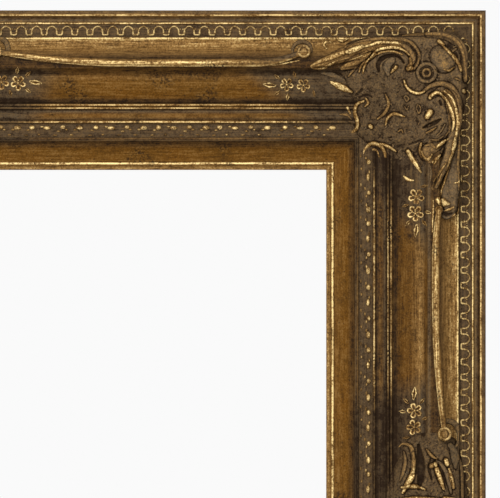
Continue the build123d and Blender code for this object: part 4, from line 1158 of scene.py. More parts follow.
# Swelling middle of the shell as a stroke, and the eye beside it with its rings
SHELL = (((34.4, 34.8), (31.8, 39)), (8.2, 8.6), 2.2, 0.28)
CORNER_EYE = (44.9, 47.4)
CORNER_EYE_RINGS = ((6.8, 1.4, 1.4, 0.12), (2.7, 1.0, 1.1, 0.25))
# Tool marks on the grounds: count and seed
CORNER_HATCH, CENTRE_HATCH = (420, 21), (240, 22)
# Sprays: root, heading in degrees, size of the flowers
CORNER_SPRAYS = (((138.0, 56.8), 0.0, 5.3), ((52.6, 141.0), 90.0, 6.3))
CENTRE_SPRAYS = {1: ((54.4, 54.4), 0.0, 5.9), -1: ((-54.4, 54.4), 180.0, 5.9)}


def barrel(back, radius, off):
    """Height of a barrel at a distance off its line."""
    return back - radius + np.sqrt(np.clip(radius ** 2 - off ** 2, 0.0, None))


def lay_ground(carving, outline, edge, back, inward):
    """Raise a ground inside an outline from the moulding to a back, and tell its share at each place."""
    floor = section_height(inward)
    mask = soft_mask(carving.first, carving.second, outline, edge)[0]
    carving.height = floor + (np.maximum(back, floor - 0.5) - floor) * mask
    carving.inside |= mask > 0.02
    return mask


def corner_carving(step):
    carving = Carving(*CORNER_BENCH, step)
    a, b = carving.first, carving.second
    inward = np.minimum(a, b)
    back = barrel(CORNER_BACK, CORNER_BARREL, (a + b - CORNER_RIDGE) / math.sqrt(2.0))
    mask = lay_ground(carving, CORNER_GROUND, CORNER_EDGE, back, inward)
    carving.height += mask * (0.7 * ripple(a, b, 13.0, 3) + 0.3 * ripple(a, b, 5.5, 4)
                              + 0.14 * ripple(a, b, 2.6, 9))
    stains = GROUND_DARK + 0.45 * unit(ripple(a, b, 17.0, 15) - 0.15)
    carving.dark = stains * np.clip((inward - 15.0) / 50.0, 0.1, 1.0)
    hatch(carving, CORNER_GROUND, *CORNER_HATCH)
    for root, heading, bloom in CORNER_SPRAYS:
        spray(carving, root, heading, bloom)
    for line, widths, rise, *more in CORNER_BODIES:
        stand = SCROLL_STAND if rise > SCROLL_RISE else LEAF_STAND
        carving.stroke(line, widths, rise, *more, moat=1.0, stand=stand)
    carving.stroke(*SHELL, dust=1.0)
    for hollow in CORNER_HOLLOWS:
        carving.dig(*hollow)
    for stroke in CORNER_LINES:
        carving.stroke(*stroke)
    for sizes in CORNER_EYE_RINGS:
        ring(carving, CORNER_EYE, *sizes)
    carving.dig((CORNER_EYE, (CORNER_EYE[0], CORNER_EYE[1] + 0.2)), (0.9, 0.9), 0.8, 0.9)
    return carving


def centre_carving(step):
    carving = Carving(*CENTRE_BENCH, step)
    s, u = carving.first, carving.second
    back = barrel(CENTRE_BACK, CENTRE_BARREL, u - CENTRE_RIDGE) - (s / CENTRE_FALL) ** 2
    mask = lay_ground(carving, CENTRE_GROUND, CENTRE_EDGE, back, u)
    carving.height += mask * (0.22 * ripple(s, u, 5.0, 6) + 0.1 * ripple(s, u, 2.6, 11))
    carving.dark[:] = GROUND_DARK
    hatch(carving, CENTRE_GROUND, *CENTRE_HATCH)
    for hand, (root, heading, bloom) in CENTRE_SPRAYS.items():
        spray(carving, root, heading, bloom)
        for line, *hollow in CENTRE_HOLLOWS:
            carving.dig([(hand * p[0], p[1]) for p in line], *hollow)
        for line, *stroke in CENTRE_LINES:
            carving.stroke([(hand * p[0], p[1]) for p in line], *stroke, moat=0.8)
    for stroke in CENTRE_SPINE:
        carving.stroke(*stroke)
    return carving


# Pieces
def section_points():
    """The whole section as (inward, up), face first, then the lip, the rebate and the back."""
    points = []
    reach = 0.0
    for width, start, end, crown in MEMBERS:
        count = max(3, int(math.ceil(width / FACE_STEP)))
        for share in np.linspace(0.0, 1.0, count + 1):
            points.append((reach + width * share, float(member_height(share, start, end, crown))))
        reach += width
    wall = MOULDING_WIDTH - SIGHT_LAP
    points += [(MOULDING_WIDTH, REBATE_DEPTH), (wall, REBATE_DEPTH), (wall, 0.0), (0.0, 0.0), points[0]]
    return points


def gilt_marks(side, rub_and_highlight, dust, glaze_and_shade):
    marks = {"rub_and_highlight": rub_and_highlight, "dust": dust, "glaze_and_shade": glaze_and_shade}
    marks = {label: unit(values) for label, values in marks.items()}
    marks["upright"] = np.full(len(rub_and_highlight), 1.0 if side in UPRIGHTS else 0.0)
    return marks


def build_rail(side, sizes, tree):
    section = [(0.0, u, v) for u, v in section_points()]
    mesh = run_tree(holder_of("section", section), tree, {
        "Length": side_length(side) * MM, "Stations": sizes.stations, "Finish": finish("gilt_moulding"),
    })
    places = points_of(mesh) / MM
    inward, up = places[:, 1], places[:, 2]
    rub_and_highlight, dust, glaze_and_shade = table_at(FINISH, inward)
    wash = ornament_wash(side, places)
    rub_and_highlight = rub_and_highlight * (1.0 - 0.75 * wash)
    dust = dust + (0.9 - dust) * wash
    glaze_and_shade = glaze_and_shade + 0.43 * wash
    # On the upright rails painted light and shade are added to the rubbed gold, dust and glaze
    if side in UPRIGHTS:
        painted_light_rub, painted_light_dust, painted_shade_glaze = table_at(UPRIGHT_CHANGE, inward)
        rub_and_highlight = rub_and_highlight + painted_light_rub * (1.0 - wash)
        dust = dust + painted_light_dust
        glaze_and_shade = glaze_and_shade + painted_shade_glaze
    else:
        # On the level rails the painted highlight on the panel's shoulder is dimmed, as the light picks it
        # out only on the upright rails
        shoulder_highlight = (inward > SHOULDER_HIGHLIGHT_BAND[0]) & (inward < SHOULDER_HIGHLIGHT_BAND[1])
        rub_and_highlight = np.where(shoulder_highlight, 0.3 * rub_and_highlight, rub_and_highlight)
    edge = (inward < 0.02) & (up < MEMBERS[0][1] - 1.0)
    hidden = up < REBATE_DEPTH + 0.1
    tones = [np.where(edge, at_edge, np.where(hidden, at_lip, face))
             for at_edge, at_lip, face in zip(EDGE_TONE, HIDDEN_TONE, (rub_and_highlight, dust, glaze_and_shade))]
    set_points(mesh, side_to_row(side, places))
    set_marks(mesh, gilt_marks(side, *tones))
    close_mesh(mesh)
    piece = dress_piece(side + "_rail_moulding", mesh, ("gilt_moulding", "bare_wood"), RAIL_SMOOTH)
    for face in mesh.polygons:
        level = -face.center.y / MM
        back = level < 0.3
        rebate_floor = abs(level - REBATE_DEPTH) < 0.2 and face.normal.y > 0.9
        rebate_wall = abs(face.normal.y) < 0.5 and level < REBATE_DEPTH and not outer_face(face.center)
        if back or rebate_floor or rebate_wall:
            face.material_index = 1
    place(piece, "frame", "gilded_wood", side + "_rail")


def ornament_wash(side, places):
    """How far the grey wash of the ornaments, 0 to 1, spreads along the panel and the members by it."""
    inward = places[:, 1]
    from_centre = np.abs(places[:, 0])
    from_corner = side_length(side) / 2 - from_centre
    slant = WASH_LEAN * (inward - WASH_LINE)
    by_corner = unit((WASH_CORNER - slant - from_corner) / WASH_SOFT)
    by_centre = unit((WASH_CENTRE - 0.3 * slant - from_centre) / WASH_SOFT)
    outside = unit((inward - WASH_BAND[0]) / WASH_BAND_SOFT)
    inside = unit((WASH_BAND[1] - inward) / WASH_BAND_SOFT)
    return np.maximum(by_corner, by_centre) * outside * inside


def outer_face(centre):
    return max(abs(centre.x) / MM - OUTER_WIDTH / 2, abs(centre.z) / MM - OUTER_HEIGHT / 2) > -0.1


def loft(rings):
    """A closed shell through rings of points of one count, shut at both ends."""
    count = len(rings[0])
    points = [tuple(spot) for one in rings for spot in one]
    faces = []
    for level in range(len(rings) - 1):
        for corner in range(count):
            a = level * count + corner
            b = level * count + (corner + 1) % count
            faces.append((a, b, b + count, a + count))
    last = len(points) - count
    faces.append(tuple(reversed(range(count))))
    faces.append(tuple(range(last, last + count)))
    return points, faces


def hoop(stations):
    """A closed ring through stations of points of one count, the last joined to the first."""
    count = len(stations[0])
    points = [tuple(spot) for one in stations for spot in one]
    faces = []
    for number in range(len(stations)):
        here, after = number * count, (number + 1) % len(stations) * count
        for corner in range(count):
            beside = (corner + 1) % count
            faces.append((here + corner, here + beside, after + beside, after + corner))
    return points, faces


def lathe(outline, turns):
    """A closed turned shape about the up axis, from radii and heights."""
    angles = [math.tau * turn / turns for turn in range(turns)]
    return loft([[(reach * math.cos(t), reach * math.sin(t), up) for t in angles] for reach, up in outline])


def ridge_motif(line, half, rise, base):
    """A closed ridge along a line of points on the bench, for a repeated motif."""
    line = np.asarray(line, dtype=float)
    ahead = np.gradient(line, axis=0)
    ahead /= np.linalg.norm(ahead, axis=1)[:, None]
    across = np.stack([-ahead[:, 1], ahead[:, 0]], axis=1)
    outline = ((-half, -0.6), (-half * 0.55, rise * 0.8), (0.0, rise), (half * 0.55, rise * 0.8),
               (half, -0.6))
    return loft([[(*(spot + aside * reach), base + up) for reach, up in outline]
                 for spot, aside in zip(line, across)])


DOME_SIDES = 9
DOME_RINGS = ((1.0, -0.6), (0.92, 0.45), (0.6, 0.85))


def dome_motif(places, base):
    """Low domes (centre, radius across and along, rise) on the bench."""
    points = []
    faces = []
    turns = [math.tau * turn / DOME_SIDES for turn in range(DOME_SIDES)]
    for x, y, wide, deep, rise in places:
        first = len(points)
        for share, up in DOME_RINGS:
            points += [(x + wide * share * math.cos(t), y + deep * share * math.sin(t), base + rise * up)
                       for t in turns]
        top = len(points)
        points.append((x, y, base + rise))
        for level in range(first, top, DOME_SIDES):
            for turn in range(DOME_SIDES):
                a, b = level + turn, level + (turn + 1) % DOME_SIDES
                above = level + DOME_SIDES
                faces.append((a, b, top) if above == top else (a, b, b + DOME_SIDES, a + DOME_SIDES))
        faces.append(tuple(first + turn for turn in reversed(range(DOME_SIDES))))
    return points, faces


def strip_of(side, band, low, high):
    """A mitred strip in a band of the moulding, in rail axes."""
    half = side_length(side) / 2
    section = ((band[0], low), (band[1], low), (band[1], high), (band[0], high))
    return loft([[((half - u) * share, u, v) for u, v in section]
                 for share in np.linspace(-1.0, 1.0, RUN_STATIONS)])


def build_run(name, side, band, levels, shine, motif, values, tree, node):
    seat, ground, peak = levels
    stamp = holder_of("stamp", *motif)
    strip = strip_of(side, (band[0] + RUN_CLEARANCE, band[1] - RUN_CLEARANCE), seat, ground)
    values = dict(values, Motif=stamp, Finish=finish("gilt_moulding"))
    mesh = run_tree(holder_of("band", *strip), tree, values)
    bpy.data.objects.remove(stamp, do_unlink=True)
    places = points_of(mesh) / MM
    lift = unit((places[:, 2] - ground - 0.1) / (peak - ground))
    limit = side_length(side) / 2 - places[:, 1]
    places[:, 0] = np.clip(places[:, 0], -limit, limit)
    set_points(mesh, side_to_row(side, places))
    close_mesh(mesh)
    # Rubbed gold and painted highlights on the peaks of a run, dust, glaze and painted shade on its ground
    set_marks(mesh, gilt_marks(side, lift * shine, 0.75 * (1 - lift), 0.36 * (1 - lift)))
    piece = dress_piece(name, mesh, ("gilt_moulding",), RUN_SMOOTH)
    place(piece, "frame", "gilded_composition", node)


def joined(*motifs):
    """Several motifs as one."""
    points = []
    faces = []
    for more_points, more_faces in motifs:
        faces += [tuple(len(points) + corner for corner in face) for face in more_faces]
        points += list(more_points)
    return points, faces


def lunette_motif(pitch):
    """A thin pointed arch, the square foot beside it and two dots over the foot."""
    foot = LUNETTE_BAND[0] + 7.9
    base = LUNETTE_LEVELS[1]
    spring = pitch / 2 - 2.1
    curve = ((-1.0, 2.6), (-0.9, 4.4), (-0.5, 5.9), (0.0, 6.6), (0.5, 5.9), (0.9, 4.4), (1.0, 2.6))
    arch = [(spring * share, foot - rise) for share, rise in curve]
    heel = pitch - spring
    shoe = [(spring - 0.1, foot - 3.0), (spring + 0.1, foot - 0.9), (spring + 0.7, foot - 0.1),
            (heel - 0.7, foot - 0.1), (heel - 0.1, foot - 0.9), (heel + 0.1, foot - 3.0)]
    dots = [(pitch / 2 + aside, foot - 4.4, 0.65, 0.65, 0.9) for aside in (-1.05, 1.05)]
    return joined(ridge_motif(smooth_line(arch, 2), 0.8, 1.15, base),
                  ridge_motif(smooth_line(shoe, 2), 0.95, 1.4, base), dome_motif(dots, base))


def berry_motif():
    """Four unlike berries with hooked tails and the small buds between them."""
    berries = (
        (-18.2, 88.8, 3.0, 1.9, 1.8), (-14.8, 90.2, 1.7, 0.9, 1.3), (-12.0, 94.2, 1.6, 0.8, 1.0),
        (-5.6, 88.4, 2.2, 1.8, 1.7), (-8.2, 90.2, 1.4, 0.8, 1.2), (-2.4, 91.4, 1.7, 0.8, 1.1),
        (0.4, 94.4, 1.9, 0.7, 1.0), (6.4, 89.0, 3.2, 1.6, 1.8), (10.2, 88.0, 1.6, 0.8, 1.3),
        (12.6, 94.0, 1.3, 0.9, 1.1),
        (17.8, 88.6, 2.3, 2.0, 1.8), (20.8, 90.6, 1.6, 0.8, 1.3), (22.4, 94.5, 1.7, 0.7, 1.0),
    )
    return dome_motif(berries, BERRY_LEVELS[1])


def bead_path(side):
    """The swept bead of half a rail: a slow bow to its centre button, a quicker one to its corner button.

    Gives the path, its swell, and the girth of a button at each place of it."""
    if side in UPRIGHTS:
        line, corner_swing, gap, last = UPRIGHT_LINE, UPRIGHT_SWING, UPRIGHT_CORNER_GAP, UPRIGHT_CORNER_GIRTH
    else:
        line, corner_swing, gap, last = BEAD_LINE, BEAD_SWING, BEAD_CORNER_GAP, BEAD_CORNER_GIRTH
    far = side_length(side) / 2 - gap
    along = np.linspace(BEAD_CENTRE_GAP, far, BEAD_STATIONS)
    by_centre = unit(1.0 - (along - BEAD_CENTRE_GAP) / BEAD_CENTRE_BOW)
    by_corner = unit(1.0 - (far - along) / BEAD_CORNER_BOW)
    centre_swing = line - BEAD_LINE + BEAD_SWING
    inward = line - centre_swing * by_centre ** 2 - corner_swing * by_corner ** 2
    swell = 1.0 - 0.35 * by_corner ** 1.3 - 0.35 * by_centre ** 2
    up = LAND_HEIGHT + BEAD_RISE + 0.8 * np.maximum(by_centre, by_corner)
    return np.stack([along, inward, up], axis=1), swell, np.linspace(1.0, last, len(along))


def button_motif(radius):
    """The turned button that ends a bead: a low eye in a ring."""
    outline = ((1.15, -3.0), (1.12, 1.0), (1.0, 2.5), (0.86, 3.0), (0.7, 2.2), (0.6, 1.2), (0.46, 1.9),
               (0.25, 2.4), (0.08, 2.5))
    return lathe([(radius * share, up) for share, up in outline], 20)


def build_bead(name, side, hand, sizes, tree):
    path, swell, girth = bead_path(side)
    path = path * np.array([hand, 1.0, 1.0])
    holder = holder_of("bead_path", path, edges=[(i, i + 1) for i in range(len(path) - 1)])
    set_marks(holder.data, {"swell": swell, "girth": girth})
    stamp = holder_of("button", *button_motif(BEAD_BUTTON))
    mesh = run_tree(holder, tree, {
        "Radius": sizes.bead_width / 2, "Sides": BEAD_SIDES, "Button": stamp,
        "Finish": finish("gilt_moulding"),
    })
    bpy.data.objects.remove(stamp, do_unlink=True)
    places = points_of(mesh) / MM
    along = places[:, 0]
    ahead = np.argsort(path[:, 0])
    aside = places[:, 1] - np.interp(along, path[ahead, 0], path[ahead, 1])
    aside /= np.interp(along, path[ahead, 0], swell[ahead])
    rub_and_highlight, dust, glaze_and_shade = table_at(BEAD_FINISH, aside)
    to_centre = np.abs(along - path[0, 0])
    to_end = np.minimum(to_centre, np.abs(along - path[-1, 0]))
    ends = to_end < BEAD_BUTTON + 0.5
    lift = unit((places[:, 2] - LAND_HEIGHT - 1.0) / 4.4)
    # the grey wash of the ornaments on the outer side of the bead, by its buttons
    greyed = unit(1.25 - to_end / 50.0) * unit((1.4 - aside) / 0.6)
    greyed *= np.where(to_centre > 70.0, 0.25 if side in UPRIGHTS else 1.0,
                       np.clip(1.0 - to_centre / 20.0, 0.15, 1.0))
    dust = np.maximum(dust, 0.9 * greyed)
    rub_and_highlight = np.where(ends, 0.04 + 0.58 * lift ** 3, rub_and_highlight * (1.0 - 0.93 * greyed))
    # On the upright rails the bead's gold is dimmed a little as painted shade, the light falling on it less,
    # and its grey wash is thinned
    if side in UPRIGHTS:
        rub_and_highlight = np.where(ends, rub_and_highlight, 0.95 * rub_and_highlight)
        dust = np.where(ends, dust, 0.4 * dust)
    glaze_and_shade = np.where(ends, 0.75 * (1.0 - lift) ** 1.2, glaze_and_shade + 0.3 * greyed)
    set_points(mesh, side_to_row(side, places))
    close_mesh(mesh)
    set_marks(mesh, gilt_marks(side, rub_and_highlight, dust, glaze_and_shade))
    piece = dress_piece(name + "_line", mesh, ("gilt_moulding",), RUN_SMOOTH)
    place(piece, "frame", "gilded_wood", name)


def build_relief(name, data, to_row, turned, node):
    points, faces, marks = data
    faces = [tuple(reversed(face)) for face in faces] if turned else faces
    mesh = mesh_of(name, to_row(points), faces)
    set_marks(mesh, marks)
    piece = dress_piece(name, mesh, ("gilt_ornament",), RELIEF_SMOOTH)
    place(piece, "frame", "gilded_composition", node)


# Fittings at the back, in millimetres: places across and up the frame, headings in degrees
TURN_BUTTONS = {
    "top_left": (-150.0, 265.6, 180.0), "top_right": (150.0, 265.6, 0.0),
    "bottom_left": (-150.0, -265.6, 0.0), "bottom_right": (150.0, -265.6, 180.0),
    "left": (-316.4, 0.0, 270.0), "right": (316.4, 0.0, 270.0),
}
BUTTON_HEEL, BUTTON_TOE, BUTTON_REACH = 7.5, 4.5, 30.0
BUTTON_LOW, BUTTON_HIGH, BUTTON_RIB, BUTTON_HOLE, BUTTON_EASE = 0.2, 1.7, 0.8, 2.0, 0.35
HANGERS = {"left": (-346.7, 150.0, 0.0), "right": (346.7, 150.0, 180.0)}
STRAP_LENGTH, STRAP_WIDTH, STRAP_GAUGE, STRAP_EASE = 52.0, 15.0, 1.5, 0.3
STRAP_HOLES = (12.0, 36.0)
EYE_RADIUS, EYE_BORE = 3.1, 1.75
RING_WIDTH, RING_DEPTH, RING_CORNER, RING_WIRE, RING_SIDES = 26.0, 20.0, 3.5, 1.5, 14
SCREW_HEAD, SCREW_SHANK, SCREW_LENGTH, SCREW_SLOT, SCREW_TURN = 3.6, 1.7, 13.9, 0.9, 1.4
BUTTON_SCREW_SEAT, STRAP_SCREW_SEAT = 1.9, 1.5
BUMPER_PLACE, BUMPER_RADIUS, BUMPER_HEIGHT = (394.7, 343.9), 6.5, 7.0
WEDGE_PLACES = (22.0, 58.0, 94.0)
WEDGE_LEG, WEDGE_GAUGE, WEDGE_DEPTH, WEDGE_PROUD = 8.0, 0.8, 10.0, 0.4


def back_to_row(points):
    """Plan of the back (across, up the frame, out from the back), mm, to the row frame, m."""
    across, high, out = np.asarray(points, dtype=float).T
    return np.stack((across, out, high), axis=1) * MM


def eased(outline, ease):
    """A plan outline that runs anticlockwise, drawn in by the ease of its edge."""
    spots = np.asarray(outline, dtype=float)
    ahead = np.roll(spots, -1, axis=0) - np.roll(spots, 1, axis=0)
    ahead /= np.linalg.norm(ahead, axis=1)[:, None]
    return spots + np.stack([-ahead[:, 1], ahead[:, 0]], axis=1) * ease


def plate(outline, low, high, ease):
    """A flat plate with eased edges."""
    inner = eased(outline, ease)
    levels = ((inner, low), (outline, low + ease), (outline, high - ease), (inner, high))
    return loft([[(x, y, up) for x, y in ring_of] for ring_of, up in levels])


def turned_to(motif, place_on_back):
    """A fitting drawn with its heading along the first axis, set down at its place on the back."""
    x, z, heading = place_on_back
    c, s = math.cos(math.radians(heading)), math.sin(math.radians(heading))
    return [(x + a * c - b * s, z + a * s + b * c, up) for a, b, up in motif[0]], motif[1]


def slotted_screw():
    """A round-headed screw with a driven slot, head up, its seat at height 0."""
    shapes = [lathe(((SCREW_HEAD, 0.0), (SCREW_HEAD, 0.7), (SCREW_HEAD * 0.9, 0.95)), 20),
              lathe(((0.2, -SCREW_LENGTH), (SCREW_SHANK * 0.9, -SCREW_LENGTH + 3.0), (SCREW_SHANK, 0.3)), 12)]
    for side in (1, -1):
        rings = []
        for share, up in ((1.0, 0.6), (0.96, 1.2), (0.75, 1.85), (0.4, 2.2)):
            reach = SCREW_HEAD * share
            start = math.degrees(math.asin(SCREW_SLOT / 2 / reach))
            rings.append([(x, side * y, up) for x, y in arc((0, 0), reach, start, 180.0 - start, 12)])
        shapes.append(loft(rings))
    return joined(*shapes)


def turn_button_plate():
    """A stamped turn button: a tapering plate with round ends, a screw hole and a pressed rib."""
    toe = BUTTON_REACH - BUTTON_TOE
    lean = math.degrees(math.asin((BUTTON_HEEL - BUTTON_TOE) / toe))
    c, s = math.cos(math.radians(lean)), math.sin(math.radians(lean))
    upper = np.linspace((toe + BUTTON_TOE * s, BUTTON_TOE * c), (BUTTON_HEEL * s, BUTTON_HEEL * c), 9)[1:-1]
    outline = arc((toe, 0), BUTTON_TOE, lean - 90.0, 90.0 - lean, 14) + [tuple(spot) for spot in upper]
    outline += arc((0, 0), BUTTON_HEEL, 90.0 - lean, 270.0 + lean, 26) + [(x, -y) for x, y in upper[::-1]]
    stations = []
    for (x, y), (a, b) in zip(outline, eased(outline, BUTTON_EASE)):
        hole = (x / math.hypot(x, y) * BUTTON_HOLE, y / math.hypot(x, y) * BUTTON_HOLE)
        stations.append((
            (a, b, BUTTON_LOW), (x, y, BUTTON_LOW + BUTTON_EASE), (x, y, BUTTON_HIGH - BUTTON_EASE),
            (a, b, BUTTON_HIGH), (*hole, BUTTON_HIGH), (*hole, BUTTON_LOW),
        ))
    rib = [(x, 0.0) for x in np.linspace(BUTTON_HEEL + 1.0, toe, 8)]
    return joined(hoop(stations), ridge_motif(rib, 1.5, BUTTON_RIB, BUTTON_HIGH))


def strap_plate():
    """A hanger strap: a round-ended plate, and the knuckle rolled round the ring."""
    half = STRAP_WIDTH / 2
    tail = STRAP_LENGTH - half
    outline = [(0.0, -half), (0.0, half)] + arc((-tail, 0.0), half, 90.0, 270.0, 20)
    section = ((EYE_RADIUS, 0.4 - half), (EYE_RADIUS, half - 0.4), (EYE_RADIUS - 0.4, half), (EYE_BORE, half),
               (EYE_BORE, -half), (EYE_RADIUS - 0.4, -half))
    turns = [math.tau * turn / 28 for turn in range(28)]
    knuckle = hoop([[(reach * math.sin(t), across, EYE_RADIUS + reach * math.cos(t))
                     for reach, across in section] for t in turns])
    return joined(plate(outline, 0.0, STRAP_GAUGE, STRAP_EASE), knuckle)


def wedge_points():
    """Bent wedges across the four mitres, standing a little proud of the back."""
    shapes = []
    bent = ((0, 0), (WEDGE_LEG, 0), (WEDGE_LEG, WEDGE_GAUGE), (WEDGE_GAUGE, WEDGE_GAUGE),
            (WEDGE_GAUGE, WEDGE_LEG), (0, WEDGE_LEG))
    for signs in CORNERS.values():
        for along in WEDGE_PLACES:
            points, faces = loft([[(along + a, along + b, up) for a, b in bent]
                                  for up in (-WEDGE_PROUD, WEDGE_DEPTH)])
            shapes.append((corner_to_row(signs, points), faces))
    return joined(*shapes)


def bumper_shape():
    """A moulded bumper, dished at its face."""
    return lathe(((5.6, 0.0), (BUMPER_RADIUS, 0.8), (BUMPER_RADIUS, 5.2), (6.1, 6.3), (5.2, 6.9),
                  (2.4, BUMPER_HEIGHT), (2.0, 6.6), (0.6, 6.5)), 28)


def back_piece(name, mesh, coat, body, slot, node):
    close_mesh(mesh)
    piece = dress_piece(name, mesh, (coat,), BACK_SMOOTH)
    place(piece, body, slot, node)


def build_fixings(name, spots, fixing, tree, values, coat, slot, node):
    stamp = holder_of("fixing", *fixing)
    mesh = run_tree(holder_of("spots", spots), tree, dict(values, Fixing=stamp, Finish=finish(coat)))
    bpy.data.objects.remove(stamp, do_unlink=True)
    set_points(mesh, back_to_row(points_of(mesh) / MM))
    back_piece(name, mesh, coat, "frame", slot, node)


def build_ring(side, tree):
    half = RING_WIDTH / 2
    bow = arc((RING_CORNER, half - RING_CORNER), RING_CORNER, 180.0, 90.0, 6)
    bow += arc((RING_DEPTH - half, 0.0), half, 90.0, -90.0, 24)
    bow += arc((RING_CORNER, RING_CORNER - half), RING_CORNER, 270.0, 180.0, 6)
    points = turned_to(([(a, b, EYE_RADIUS) for a, b in bow], ()), HANGERS[side])[0]
    count = len(points)
    holder = holder_of("ring_path", points, edges=[(i, (i + 1) % count) for i in range(count)])
    set_marks(holder.data, {"swell": np.ones(count), "girth": np.ones(count)})
    mesh = run_tree(holder, tree, {
        "Radius": RING_WIRE * MM, "Sides": RING_SIDES, "Finish": finish("zinc_plate"),
    })
    set_points(mesh, back_to_row(points_of(mesh) / MM))
    node = "hanger_ring_" + side
    back_piece("hanger_ring_wire_" + side, mesh, "zinc_plate", node, "plated_steel", node)


# Settings
def colour_property(name, description, default):
    return bpy.props.FloatVectorProperty(name=name, description=description, subtype="COLOR", size=3,
                                         min=0.0, max=1.0, default=default)


def length_property(name, description, default):
    return bpy.props.FloatProperty(name=name, description=description, default=default, unit="LENGTH")


class GildedFrameFinish(bpy.types.PropertyGroup):
    """Colours of the gilding and of what shows at the back."""
    # The rubbed gold also paints the highlights on crests and arrises
    gold: colour_property("Rubbed gold", "Gold leaf where it is rubbed bright", (0.92, 0.68, 0.3))
    bronze: colour_property("Bronze", "Gold leaf that is rubbed a little", (0.33, 0.185, 0.058))
    old_gold: colour_property("Old gold", "Gold leaf under its brown tone", (0.13, 0.056, 0.007))
    dust: colour_property("Dust", "Grey wash on the grounds", (0.128, 0.099, 0.063))
    # The glaze colour also paints the shade in grooves, hollows and moats
    glaze_and_shade: colour_property("Glaze_and_shade", "Dark glaze left in the cuts", (0.022, 0.012, 0.006))
    wood: colour_property("Wood", "Bare timber at the back", (0.42, 0.27, 0.14))
    wood_dark: colour_property("Wood grain", "Late growth in the bare timber", (0.22, 0.12, 0.055))
    zinc: colour_property("Plated steel", "Hardware at the back", (0.55, 0.54, 0.52))
    steel: colour_property("Bright steel", "Wedges and screws", (0.45, 0.44, 0.43))
    rubber: colour_property("Rubber", "Bumpers at the back", (0.02, 0.019, 0.018))


class GildedFrameSizes(bpy.types.PropertyGroup):
    """Sizes of the pieces, the view and the light."""
    stations: bpy.props.IntProperty(
        name="Stations", description="Cross sections along each rail", default=90, min=2)
    lunette_pitch: length_property("Lunette pitch", "One arch and one foot of the lunettes", 11.55 * MM)
    berry_pitch: length_property("Berry pitch", "Length of one group of four berries", 47.6 * MM)
    bead_width: length_property("Bead width", "Swept bead at its fullest", 6.4 * MM)
    relief_step: length_property("Relief step", "Fineness of the carved ornament", 0.4 * MM)
    view_width: length_property("View width", "Width of the picture at the moulding", 0.3782)
    view_distance: length_property("View distance", "Camera to the moulding's face", 11.955)
    view_centre: bpy.props.FloatVectorProperty(
        name="View centre", description="Middle of the picture, across and up", size=2,
        default=(0.2423, 0.1893), subtype="XYZ", unit="LENGTH")
    key_power: bpy.props.FloatProperty(
        name="Key light", description="Large soft light in front", default=75.0, unit="POWER")


# Stage, in metres and degrees
FLOOR_REACH, FLOOR_TONE = 9.0, (0.86, 0.86, 0.855, 1.0)
SOFT_TONE, SOFT_POWER = (1.0, 0.985, 0.96), 0.5
BACKDROP_TONE = (0.956, 0.956, 0.956, 1.0)
KEY_SIZE, KEY_PLACE, KEY_TURN = (2.4, 2.0), (-0.7, -3.0, 1.3), (68.0, 0.0, -14.0)
SENSOR_WIDTH = 36.0
FACE_HEIGHT = 0.045


# Operators
class GILDED_OT_rails(bpy.types.Operator):
    """Run the moulding along the four rails and mitre it"""
    bl_idname = "gilded_frame.rails"
    bl_label = "Rails"

    def execute(self, context):
        tree = moulding_tree()
        for side in SIDES:
            build_rail(side, context.scene.gilded_frame_sizes, tree)
        return {"FINISHED"}


class GILDED_OT_runs(bpy.types.Operator):
    """Lay the lunette and berry runs into the rails"""
    bl_idname = "gilded_frame.runs"
    bl_label = "Lunette and berry runs"

    def execute(self, context):
        sizes = context.scene.gilded_frame_sizes
        tree = motif_tree()
        arch = lunette_motif(sizes.lunette_pitch / MM)
        berry = berry_motif()
        for number, side in enumerate(SIDES):
            arches = int((side_length(side) - 2 * LUNETTE_BAND[1]) * MM / sizes.lunette_pitch)
            berries = int((side_length(side) - 2 * BERRY_BAND[1]) * MM / sizes.berry_pitch)
            build_run("lunette_band_" + side, side, LUNETTE_BAND, LUNETTE_LEVELS, LUNETTE_SHINE, arch, {
                "Count": arches, "Pitch": sizes.lunette_pitch, "Seed": 3 + number,
            }, tree, "lunette_run_" + side)
            build_run("berry_band_" + side, side, BERRY_BAND, BERRY_LEVELS, BERRY_SHINE, berry, {
                "Count": berries, "Pitch": sizes.berry_pitch, "Play": BERRY_PLAY * MM, "Seed": 13 + number,
            }, tree, "berry_run_" + side)
        return {"FINISHED"}


class GILDED_OT_beads(bpy.types.Operator):
    """Sweep the beads from button to button"""
    bl_idname = "gilded_frame.beads"
    bl_label = "Swept beads"

    def execute(self, context):
        sizes = context.scene.gilded_frame_sizes
        tree = swept_tree()
        for name in CORNERS:
            upper, hand = name.split("_")
            on_level = -1 if hand == "right" else 1
            build_bead("swept_bead_" + name, upper, on_level if upper == "top" else -on_level, sizes, tree)
            on_upright = 1 if upper == "top" else -1
            build_bead("swept_bead_" + hand + "_" + upper, hand,
                       on_upright if hand == "right" else -on_upright, sizes, tree)
        return {"FINISHED"}


class GILDED_OT_corners(bpy.types.Operator):
    """Carve the corner cartouche and set it on the four corners"""
    bl_idname = "gilded_frame.corners"
    bl_label = "Corner ornaments"

    def execute(self, context):
        step = context.scene.gilded_frame_sizes.relief_step / MM
        data = corner_carving(step).mesh_data(CORNER_UNDERSIDE)
        for name, signs in CORNERS.items():
            build_relief("corner_relief_" + name, data, lambda p, signs=signs: corner_to_row(signs, p),
                         signs[0] * signs[1] < 0, "corner_ornament_" + name)
        return {"FINISHED"}


